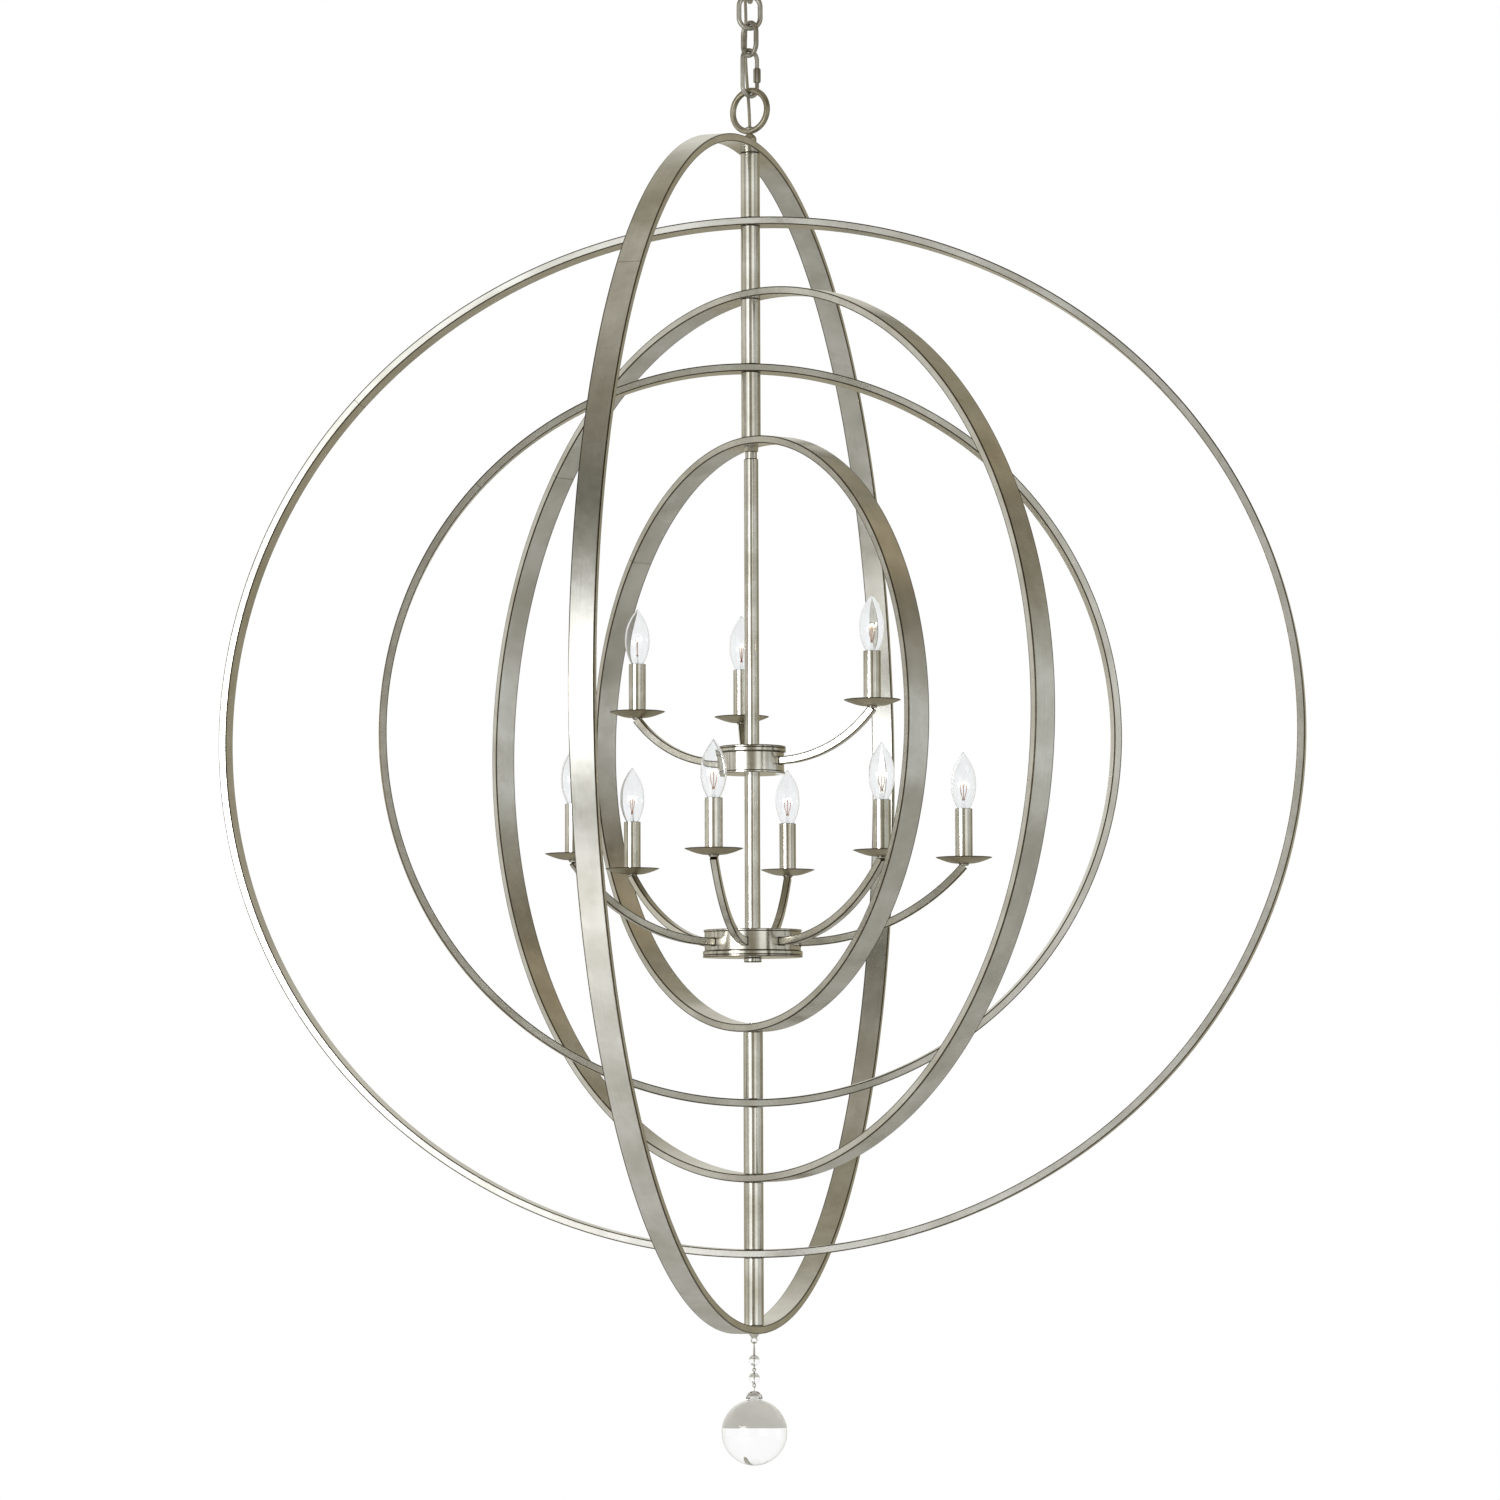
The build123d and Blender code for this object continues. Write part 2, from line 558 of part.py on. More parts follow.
def canopy():
    """Shallow pressed dome that covers the ceiling box."""
    hole = disc(ROD_D + 2 * BODY_GAP, CANOPY_BOTTOM - 1, CANOPY_BOTTOM + 5)
    return canopy_form(0) - canopy_form(CANOPY_SHEET) - hole


def crossbar():
    """Strap screwed under the ceiling box, with a tapped centre for the nipple."""
    bar = Pos(0, 0, CEILING - CROSSBAR_THICKNESS / 2) * Box(
        CROSSBAR_LENGTH, CROSSBAR_WIDTH, CROSSBAR_THICKNESS
    )
    bar -= disc(ROD_D, CEILING - 2 * CROSSBAR_THICKNESS, CEILING + 1)
    for side in (-1, 1):
        hole = Pos(side * CROSSBAR_SPACING / 2, 0, CEILING)
        bar -= hole * Cylinder(CROSSBAR_HOLE_D / 2, 4 * CROSSBAR_THICKNESS)
    return bar


def nipple_and_nut():
    """Hollow threaded nipple from the collar up to the crossbar, and its lock nut."""
    nipple_low = COLLAR_LOOP_TOP - COLLAR_LOOP_WIRE_D + COLLAR_BORE_FLOOR
    nipple = tube(ROD_D, ROD_BORE_D, nipple_low, CEILING)
    high = CEILING - CROSSBAR_THICKNESS
    return [nipple, hex_nut(NIPPLE_NUT_D, high - NIPPLE_NUT_HEIGHT, high)]


# ---- supply cord ----
CORD_ROUTE = (
    (0, 0, KNUCKLE_BASE - 12),
    (0, 0, LOOP_CENTRE - 13),
    (-3, 15, LOOP_CENTRE + 31),
    (-6, 18, QUICK_BOTTOM + 62),
    (-4.5, 16.5, LINK_3_BOTTOM + 52),
    (-6, 17, LINK_2_BOTTOM + 50),
    (-5, 14, LINK_1_TOP - 6),
    (0, 0, COLLAR_LOOP_TOP - 9),
    (0, 0, CEILING - 1),
)


def cord_radii():
    """Arc radius at each corner of the route: as large as its two runs allow."""
    points = [Vector(*p) for p in CORD_ROUTE]
    radii = []
    for before, here, after in zip(points, points[1:], points[2:]):
        shorter = min((here - before).length, (after - here).length)
        turn = radians((here - before).get_angle(after - here))
        radii.append(0.45 * shorter / tan(turn / 2))
    return radii


def supply_cord():
    """Round cord from the knuckle up behind the links to the collar loop."""
    radii = cord_radii()
    path = FilletPolyline(*CORD_ROUTE, radius=radii)
    section = Plane(origin=CORD_ROUTE[0], z_dir=(0, 0, 1)) * Circle(CORD_D / 2)
    cord = sweep(section, path=path)
    expected = pi * CORD_D**2 / 4 * path.length
    print("cord radii", [round(r) for r in radii], "length", round(path.length, 1))
    print("cord volume", round(cord.volume), "expected", round(expected))
    return cord


# ---- crystal drop ----
FINIAL_BOTTOM = -OUTER_HOOP_RADIUS - BODY_GAP - FINIAL_HEIGHT
FINIAL_EYE_CENTRE = FINIAL_BOTTOM - EYE_RADIUS + EYE_SINK
HOOK_HINGE = FINIAL_EYE_CENTRE - EYE_RADIUS
HOOK_CENTRE = HOOK_HINGE + EYE_WIRE_D + EYE_GAP - EYE_RADIUS
BEAD_HINGE = BEAD_CENTRES[0] - BEAD_D / 2 - 2 * SMALL_EYE_RADIUS - SMALL_EYE_WIRE_D / 2
LOWER_EYE_CENTRE = BEAD_HINGE + SMALL_EYE_WIRE_D + EYE_GAP - SMALL_EYE_RADIUS
CRYSTAL_HINGE = BEAD_CENTRES[1] - BEAD_D / 2 - 2 * SMALL_EYE_RADIUS - SMALL_EYE_WIRE_D / 2
BAIL_CENTRE = CRYSTAL_HINGE + SMALL_EYE_WIRE_D + EYE_GAP - BAIL_RADIUS


def finial():
    """Domed nut under the outer hoop with a wire eye below it."""
    top = -OUTER_HOOP_RADIUS - BODY_GAP
    dome = Pos(0, 0, top - FINIAL_HEIGHT / 2) * Cone(
        FINIAL_D / 4, FINIAL_D / 2, FINIAL_HEIGHT
    )
    eye = ring(EYE_RADIUS, EYE_WIRE_D, FINIAL_EYE_CENTRE, 0)
    return dome + eye - disc(ROD_D, -OUTER_HOOP_RADIUS - ROD_IN_FINIAL, top + 1)


def upper_bead_wire():
    """Hook through the finial's eye, shank through the bead and a small eye below it."""
    hook = ring(EYE_RADIUS, EYE_WIRE_D, HOOK_CENTRE, 90)
    hook_foot = HOOK_CENTRE - EYE_RADIUS
    eye_centre = BEAD_HINGE + SMALL_EYE_RADIUS
    eye = ring(SMALL_EYE_RADIUS, SMALL_EYE_WIRE_D, eye_centre, 90)
    shank = disc(EYE_WIRE_D, eye_centre + SMALL_EYE_RADIUS - 0.1, hook_foot + 0.1)
    crimp = disc(CRIMP_D, BEAD_CENTRES[0] + BEAD_D / 2, hook_foot - 1.0)
    return hook + shank + crimp + eye


def lower_bead_wire():
    """Eye, shank through the second bead, crimp and eye below."""
    top_eye = ring(SMALL_EYE_RADIUS, SMALL_EYE_WIRE_D, LOWER_EYE_CENTRE, 0)
    eye_centre = CRYSTAL_HINGE + SMALL_EYE_RADIUS
    eye = ring(SMALL_EYE_RADIUS, SMALL_EYE_WIRE_D, eye_centre, 0)
    shank_top = LOWER_EYE_CENTRE - SMALL_EYE_RADIUS + 0.1
    shank = disc(EYE_WIRE_D, eye_centre + SMALL_EYE_RADIUS - 0.1, shank_top)
    return top_eye + shank + eye


def bead(index):
    """Clear bead drilled through for its wire."""
    ball = Pos(0, 0, BEAD_CENTRES[index]) * Sphere(BEAD_D / 2)
    return ball - disc(BEAD_BORE_D, BEAD_CENTRES[index] - BEAD_D, BEAD_CENTRES[index] + BEAD_D)


def crystal_cap():
    """Small domed cap on top of the crystal, with the bail that it hangs by."""
    bail = ring(BAIL_RADIUS, SMALL_EYE_WIRE_D, BAIL_CENTRE, 90)
    cap_top = BAIL_CENTRE - BAIL_RADIUS + BAIL_SINK
    cap_low = cap_top - CRYSTAL_CAP_HEIGHT
    top_radius = CRYSTAL_CAP_D / 5
    bulge, drop = CRYSTAL_CAP_BULGE
    side = ThreePointArc(
        (top_radius, 0, cap_top),
        (bulge * CRYSTAL_CAP_D, 0, cap_top - drop * CRYSTAL_CAP_HEIGHT),
        (CRYSTAL_CAP_D / 2, 0, cap_low),
    )
    top = Line((0, 0, cap_top), (top_radius, 0, cap_top))
    base = Line((CRYSTAL_CAP_D / 2, 0, cap_low), (0, 0, cap_low))
    axis = Line((0, 0, cap_low), (0, 0, cap_top))
    dome = turned([top, side, base, axis])
    seat = Pos(0, 0, CRYSTAL_CENTRE) * Sphere(CRYSTAL_D / 2)
    return dome + bail - seat


def crystal_ball():
    """Solid clear ball."""
    return Pos(0, 0, CRYSTAL_CENTRE) * Sphere(CRYSTAL_D / 2)


# ---- every node of the model ----
def hub_nodes():
    """The two hubs with a slot in each shell for every arm."""
    upper_arms = [upper_arm(a) for a in UPPER_ARM_ANGLES]
    lower_arms = [lower_arm(a) for a in LOWER_ARM_ANGLES]
    upper_shell = place_upper_hub(hub_shell(UPPER_HUB_RADIUS, LOWER_STEM_D))
    lower_shell = place_lower_hub(hub_shell(LOWER_HUB_RADIUS, LOWER_STEM_D))
    for bar in upper_arms:
        upper_shell -= bar
    for bar in lower_arms:
        lower_shell -= bar
    nodes = {
        "upper_hub_shell": upper_shell,
        "upper_hub_cover": place_upper_hub(hub_cover(UPPER_HUB_RADIUS, UPPER_STEM_D)),
        "lower_hub_shell": lower_shell,
        "lower_hub_cover": place_lower_hub(hub_cover(LOWER_HUB_RADIUS, LOWER_STEM_D)),
    }
    for number, bar in enumerate(upper_arms, 1):
        nodes[f"upper_arm_{number}"] = bar
    for number, bar in enumerate(lower_arms, 1):
        nodes[f"lower_arm_{number}"] = bar
    return nodes


def all_nodes():
    """Every named sub-part, in the frame centred on the hoops."""
    nodes = {f"hoop_{k + 1}": hoop(k) for k in range(HOOP_COUNT)}
    for k in range(HOOP_COUNT - 1):
        nodes[f"upper_spacer_{k + 1}"] = spacer(k, 1)
        nodes[f"lower_spacer_{k + 1}"] = spacer(k, -1)
    nodes["upper_rod"] = upper_rod()
    nodes["lower_rod"] = lower_rod()
    nodes["lock_nut"] = lock_nut()
    nodes["neck"] = neck()
    nodes["upper_stem"] = upper_stem()
    nodes["lower_stem"] = lower_stem()
    nodes["end_cap"] = end_cap()
    nodes.update(hub_nodes())
    nodes["arm_cups"] = at_every_light(arm_cup())
    nodes["drip_pans"] = at_every_light(drip_pan())
    nodes["candle_sleeves"] = at_every_light(candle_sleeve())
    nodes["lamp_sockets"] = at_every_light(lamp_socket())
    nodes["bulb_bases"] = at_every_light(bulb_base())
    nodes["bulb_glass"] = at_every_light(bulb_glass())
    nodes["top_loop"] = top_loop()
    nodes["quick_link"] = quick_link()
    nodes["gate_nut"] = gate_nut()
    for k in range(len(LINK_BOTTOMS)):
        nodes[f"chain_link_{k + 1}"] = chain_link(k)
    nodes["collar_loop"] = collar_loop()
    nodes["canopy"] = canopy()
    nodes["crossbar"] = crossbar()
    nodes["nipple_and_nut"] = nipple_and_nut()
    nodes["supply_cord"] = supply_cord()
    nodes["finial"] = finial()
    nodes["upper_bead_wire"] = upper_bead_wire()
    nodes["upper_bead"] = bead(0)
    nodes["lower_bead_wire"] = lower_bead_wire()
    nodes["lower_bead"] = bead(1)
    nodes["crystal_cap"] = crystal_cap()
    nodes["crystal_ball"] = crystal_ball()
    return nodes


def solids_of(shape):
    """The shape's solids as a plain list, whatever it was built as."""
    if isinstance(shape, list):
        return [solid for piece in shape for solid in piece.solids()]
    return list(shape.solids())


def write_parts():
    """Hang the model from the ceiling plane and write one file for each node."""
    hang = Pos(0, 0, -CEILING)
    for name, shape in all_nodes().items():
        solids = [hang * solid for solid in solids_of(shape)]
        export_step(solids[0] if len(solids) == 1 else Compound(solids), f"parts/{name}.step")


write_parts()
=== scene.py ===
import json
import math
import random

import bmesh
import bpy
from mathutils import Matrix, Vector


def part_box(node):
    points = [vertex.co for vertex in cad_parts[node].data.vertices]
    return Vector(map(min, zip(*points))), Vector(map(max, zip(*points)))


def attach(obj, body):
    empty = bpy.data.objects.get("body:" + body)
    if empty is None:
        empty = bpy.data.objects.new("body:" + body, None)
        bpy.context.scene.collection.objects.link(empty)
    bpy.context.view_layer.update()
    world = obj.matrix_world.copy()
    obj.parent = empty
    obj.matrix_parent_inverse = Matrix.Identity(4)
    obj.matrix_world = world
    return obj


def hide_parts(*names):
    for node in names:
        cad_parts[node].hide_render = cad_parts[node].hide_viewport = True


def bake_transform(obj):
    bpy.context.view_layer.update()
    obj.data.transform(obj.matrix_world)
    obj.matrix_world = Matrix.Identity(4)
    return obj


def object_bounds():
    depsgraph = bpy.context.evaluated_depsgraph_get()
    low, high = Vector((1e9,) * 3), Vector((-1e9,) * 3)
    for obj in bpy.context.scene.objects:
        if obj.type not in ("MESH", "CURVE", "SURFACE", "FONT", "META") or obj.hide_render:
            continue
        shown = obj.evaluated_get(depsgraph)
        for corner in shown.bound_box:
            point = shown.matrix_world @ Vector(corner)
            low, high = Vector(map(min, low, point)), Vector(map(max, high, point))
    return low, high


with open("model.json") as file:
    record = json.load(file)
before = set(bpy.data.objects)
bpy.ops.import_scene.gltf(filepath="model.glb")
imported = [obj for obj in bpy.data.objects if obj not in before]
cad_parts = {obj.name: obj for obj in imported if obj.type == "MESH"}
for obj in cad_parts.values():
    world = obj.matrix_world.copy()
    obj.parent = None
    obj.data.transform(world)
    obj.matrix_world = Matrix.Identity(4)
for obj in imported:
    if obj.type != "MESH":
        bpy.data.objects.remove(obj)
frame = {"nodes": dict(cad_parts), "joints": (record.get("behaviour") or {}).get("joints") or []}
cad_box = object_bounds()
JOINTS = {joint["name"]: joint for joint in frame["joints"]}
MM = 0.001

# ---- the design's own sizes, in millimetres, with heights counted from the centre of the hoops ----
CENTRE = JOINTS["outer_hoop_turn"]["pos_m"][2] / MM
HOOPS = (
    # node, body, plane angle in degrees, outer radius, width over height
    ("hoop_1", "outer_hoop", 75.5, 762.0, 1.0),
    ("hoop_2", "second_hoop", -10.4, 666.75, 1.057),
    ("hoop_3", "third_hoop", -52.7, 571.5, 1.0),
    ("hoop_4", "fourth_hoop", 5.0, 476.25, 1.0),
    ("hoop_5", "inner_hoop", -58.0, 381.0, 1.0),
)
BAND_WIDTH, BAND_THICKNESS = 30.5, 10.0
SEAM_ANGLE = 138.0  # where each band was welded closed
UPPER_ARM_ANGLES = (-28.0, 94.5, 150.0)
LOWER_ARM_ANGLES = (-145.0, -100.0, -54.0, -8.0, 80.0, 126.0)
UPPER_TIP_RADIUS, LOWER_TIP_RADIUS = 172.0, 271.0
UPPER_RIM, LOWER_RIM = 35.8, -161.5
UPPER_HUB_TOP, LOWER_HUB_BOTTOM = -16.5, -286.5
UPPER_HUB_RADIUS, LOWER_HUB_RADIUS = 41.0, 61.5
HUB_HEIGHT, HUB_COVER, HUB_WALL = 35.5, 8.2, 3.0
ARM_HEIGHT, ARM_WIDTH = 10.0, 9.0
SLOT_GAP = 0.25
SLOT_CORNER = 1.6  # how far an oval is blown up before the slot's sides cut it off
PAN_DEPTH, PAN_FLOOR, PAN_WALL, CUP_HEIGHT = 7.5, 12.0, 1.2, 3.0
SLEEVE_TOP, SLEEVE_RADII = 62.0, (10.1, 11.1)
BULB_HEIGHT, BULB_RADIUS, BULB_NECK_RADIUS, GLASS_WALL = 72.0, 16.0, 7.7, 0.7
SPACER_RADII, NECK_RADII = (12.5, 11.0), (7.65, 5.3)
UPPER_STEM_RADII, LOWER_STEM_RADII = (9.3, 7.8), (10.0, 8.5)
END_CAP_RADII = (11.2, 0.001)
LOOP_ANGLE, QUICK_ANGLE, COLLAR_LOOP_ANGLE = -34.0, 40.0, -10.0
LINK_ANGLES = (80.0, 5.0, -53.0)
LINK_LENGTH, LINK_WIDTH, LINK_WIRE = 49.0, 34.0, 6.5
QUICK_LENGTH, QUICK_WIDTH, QUICK_WIRE = 66.0, 30.0, 5.6
GATE_NUT_RADIUS = 4.95
LOOP_RADIUS, LOOP_WIRE = 26.5, 8.0
COLLAR_LOOP_RADIUS, COLLAR_LOOP_WIRE = 16.0, 6.0
LINK_GAP = 0.5
CANOPY_RADIUS, CANOPY_RIM, CANOPY_WALL = 63.5, 5.0, 1.2
CORD_D = 4.2
FLOOR_DROP, FLOOR_REACH = 0.9, 6.0  # metres, below the lamp and out from its axis


def height_of(joint):
    """A joint's height above the centre of the hoops, in millimetres."""
    return JOINTS[joint]["pos_m"][2] / MM - CENTRE


def span(node):
    """Lowest and highest height of a CAD node, in millimetres above the centre of the hoops."""
    low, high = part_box(node)
    return low.z / MM - CENTRE, high.z / MM - CENTRE


# ---- mesh helpers; all of them take millimetres about the centre of the hoops ----
def turn_about_axis(degrees):
    return Matrix.Rotation(math.radians(degrees), 4, "Z")


def soften(points, bevel=0.5, margin=1.4, closed=False, limit=25.0):
    """Rounds and marks the corners of an outline for the painted edge shade: returns (a, b, edge), with
    edge 1 on a corner.
    """
    count = len(points)
    softened = []
    for k, point in enumerate(points):
        if not closed and k in (0, count - 1):
            softened.append((*point, 0.0))
            continue
        here = Vector(point)
        back = Vector(points[k - 1]) - here
        ahead = Vector(points[(k + 1) % count]) - here
        room = 0.48 * min(back.length, ahead.length)
        if room < 1e-6:
            softened.append((*point, 0.0))
            continue
        turn = 180.0 - math.degrees(back.angle(ahead))
        if turn < limit:
            softened.append((*point, 0.0))
            continue
        cut, far = min(bevel, 0.6 * room), min(margin, room)
        back.normalize()
        ahead.normalize()
        middle = here + (back + ahead) * cut * 0.29
        softened.append((*(here + back * far), 0.0))
        softened.append((*(here + back * cut), 0.8))
        softened.append((*middle, 1.0))
        softened.append((*(here + ahead * cut), 0.8))
        softened.append((*(here + ahead * far), 0.0))
    return softened


class Piece:
    """Collects the faces of one visible piece, in millimetres, with an edge mark and a UV in metres."""

    def __init__(self):
        self.points, self.edges, self.faces, self.uvs = [], [], [], []

    def add(self, point, edge=0.0):
        self.points.append(Vector(point))
        self.edges.append(edge)
        return len(self.points) - 1

    def quad(self, corners, uvs):
        """One face; corners that coincide are dropped."""
        kept = []
        for corner, uv in zip(corners, uvs):
            if corner not in [c for c, _ in kept]:
                kept.append((corner, uv))
        if len(kept) > 2:
            self.faces.append([c for c, _ in kept])
            self.uvs.extend(uv for _, uv in kept)

    def grid(self, rows, wrap_rows=False, wrap_columns=False, flip=False):
        """Faces between rows of point numbers."""
        row_count, column_count = len(rows), len(rows[0])
        along = [0.0]
        for k in range(1, row_count + 1):
            a, b = rows[k - 1][0], rows[k % row_count][0]
            along.append(along[-1] + (self.points[a] - self.points[b]).length * MM)
        across = [0.0]
        middle = rows[row_count // 2]
        for k in range(1, column_count + 1):
            a, b = middle[k - 1], middle[k % column_count]
            across.append(across[-1] + (self.points[a] - self.points[b]).length * MM)
        for r in range(row_count if wrap_rows else row_count - 1):
            for c in range(column_count if wrap_columns else column_count - 1):
                r2, c2 = (r + 1) % row_count, (c + 1) % column_count
                corners = [rows[r][c], rows[r][c2], rows[r2][c2], rows[r2][c]]
                uvs = [
                    (along[r], across[c]),
                    (along[r], across[c + 1]),
                    (along[r + 1], across[c + 1]),
                    (along[r + 1], across[c]),
                ]
                if flip:
                    corners.reverse()
                    uvs.reverse()
                self.quad(corners, uvs)

    def lathe(self, outline, segments=64, place=Matrix.Identity(4)):
        """Turns an outline of (radius, height, edge) about the vertical axis."""
        rows = []
        for k in range(segments):
            turn = 2 * math.pi * k / segments
            row = []
            for n, (radius, height, edge) in enumerate(outline):
                if radius < 1e-6 and rows:
                    row.append(rows[0][n])
                    continue
                spot = Vector((radius * math.cos(turn), radius * math.sin(turn), height))
                row.append(self.add(place @ spot, edge))
            rows.append(row)
        self.grid(rows, wrap_rows=True)

    def sweep(self, section, spots, closed=False, capped=True):
        """Carries a section of (a, b, edge) along spots of (origin, a axis, b axis, size)."""
        rows = []
        for origin, a_axis, b_axis, size in spots:
            row = [
                self.add(origin + a_axis * a * size + b_axis * b * size, edge)
                for a, b, edge in section
            ]
            rows.append(row)
        self.grid(rows, wrap_rows=closed, wrap_columns=True)
        if capped and not closed:
            self.faces.append(list(reversed(rows[0])))
            self.faces.append(list(rows[-1]))
            self.uvs.extend((0.0, 0.0) for _ in range(2 * len(section)))

    def finish(self, name, body, material, slot, stands_for=(), sharp=38.0):
        """Makes the Blender object, moved to the row frame, and gives it to its body."""
        mesh = bpy.data.meshes.new(name)
        lift = Vector((0, 0, CENTRE))
        mesh.from_pydata([(p + lift) * MM for p in self.points], [], self.faces)
        layer = mesh.uv_layers.new(name="along")
        for corner, uv in zip(layer.data, self.uvs):
            corner.uv = uv
        mark = mesh.attributes.new("edge", "FLOAT", "POINT")
        mark.data.foreach_set("value", self.edges)
        mesh.validate()
        tidy_normals(mesh)
        mesh.polygons.foreach_set("use_smooth", [True] * len(mesh.polygons))
        mesh.set_sharp_from_angle(angle=math.radians(sharp))
        mesh.materials.append(material)
        thing = bpy.data.objects.new(name, mesh)
        bpy.context.scene.collection.objects.link(thing)
        if body:
            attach(thing, body)
        if stands_for:
            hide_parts(*stands_for)
        return thing


def tidy_normals(mesh):
    """Turns every face outwards."""
    work = bmesh.new()
    work.from_mesh(mesh)
    bmesh.ops.recalc_face_normals(work, faces=work.faces)
    work.to_mesh(mesh)
    work.free()


def circle_section(diameter, sides=20):
    """Round closed section."""
    turns = [2 * math.pi * k / sides for k in range(sides)]
    return [(diameter / 2 * math.cos(t), diameter / 2 * math.sin(t), 0.0) for t in turns]


def box_section(width, height, bevel=0.6, margin=1.6):
    """Rectangular closed section with rounded, marked corners."""
    w, h = width / 2, height / 2
    return soften([(-w, -h), (w, -h), (w, h), (-w, h)], bevel, margin, closed=True)


def oval_path(length, width, wire, steps=18):
    """Points and outward turns round an upright link, counter-clockwise from its right leg."""
    end_radius = (width - wire) / 2
    straight = (length - width) / 2
    path = [((end_radius, 0.5 * straight), 0.0)]
    for k in range(steps + 1):
        turn = math.pi * k / steps
        path.append(
            ((end_radius * math.cos(turn), straight + end_radius * math.sin(turn)), turn)
        )
    path.append(((-end_radius, 0.5 * straight), math.pi))
    path.append(((-end_radius, -0.5 * straight), math.pi))
    for k in range(steps + 1):
        turn = math.pi + math.pi * k / steps
        path.append(
            ((end_radius * math.cos(turn), -straight + end_radius * math.sin(turn)), turn)
        )
    path.append(((end_radius, -0.5 * straight), 2 * math.pi))
    return path


def upright_spots(path, centre_height, plane_angle, place=(0.0, 0.0)):
    """Sweep spots for a path of ((along, up), outward turn) in an upright plane."""
    flat = math.radians(plane_angle)
    along = Vector((math.cos(flat), math.sin(flat), 0))
    normal = Vector((-math.sin(flat), math.cos(flat), 0))
    up = Vector((0, 0, 1))
    origin = Vector((place[0], place[1], centre_height))
    return [
        (origin + along * x + up * z, along * math.cos(t) + up * math.sin(t), normal, 1.0)
        for (x, z), t in path
    ]


def ring_path(radius, steps=64):
    turns = [2 * math.pi * k / steps for k in range(steps)]
    return [((radius * math.cos(t), radius * math.sin(t)), t) for t in turns]


# ---- materials ----
def new_material(name):
    material = bpy.data.materials.new(name)
    material.use_nodes = True
    tree = material.node_tree
    return material, tree, tree.nodes["Principled BSDF"]


def node(tree, kind, **values):
    """A shader node with its settings and unlinked inputs given by name."""
    made = tree.nodes.new(kind)
    for key, value in values.items():
        if key.startswith("in_"):
            made.inputs[key[3:].replace("_", " ")].default_value = value
        else:
            setattr(made, key, value)
    return made


def ramp(tree, source, stops):
    """Colour ramp fed by source; stops are (place, colour)."""
    made = tree.nodes.new("ShaderNodeValToRGB")
    elements = made.color_ramp.elements
    for k, (place, colour) in enumerate(stops):
        element = elements[k] if k < 2 else elements.new(place)
        element.position = place
        element.color = (*colour, 1.0)
    tree.links.new(source, made.inputs["Fac"])
    return made.outputs["Color"]


def mapped_noise(tree, coordinates, scale, detail=4.0, stretch=(1, 1, 1), roughness=0.55):
    """Noise over stretched coordinates."""
    mapping = node(tree, "ShaderNodeMapping")
    mapping.inputs["Scale"].default_value = stretch
    tree.links.new(coordinates, mapping.inputs["Vector"])
    noise = node(
        tree, "ShaderNodeTexNoise", in_Scale=scale, in_Detail=detail, in_Roughness=roughness
    )
    tree.links.new(mapping.outputs["Vector"], noise.inputs["Vector"])
    return noise.outputs["Fac"]


def mix(tree, factor, first, second, blend="MIX"):
    """Mixes two colours; first and second may be sockets or colours."""
    made = tree.nodes.new("ShaderNodeMix")
    made.data_type = "RGBA"
    made.blend_type = blend
    for socket, value in ((0, factor), (6, first), (7, second)):
        if isinstance(value, bpy.types.NodeSocket):
            tree.links.new(value, made.inputs[socket])
        elif socket == 0:
            made.inputs[socket].default_value = value
        else:
            made.inputs[socket].default_value = (*value, 1.0)
    return made.outputs[2]


def maths(tree, operation, first, second=0.0):
    made = node(tree, "ShaderNodeMath", operation=operation)
    for socket, value in ((0, first), (1, second)):
        if isinstance(value, bpy.types.NodeSocket):
            tree.links.new(value, made.inputs[socket])
        else:
            made.inputs[socket].default_value = value
    return made.outputs[0]


def bump(tree, height, strength, distance, shader):
    made = node(tree, "ShaderNodeBump", in_Strength=strength, in_Distance=distance)
    tree.links.new(height, made.inputs["Height"])
    tree.links.new(made.outputs["Normal"], shader.inputs["Normal"])


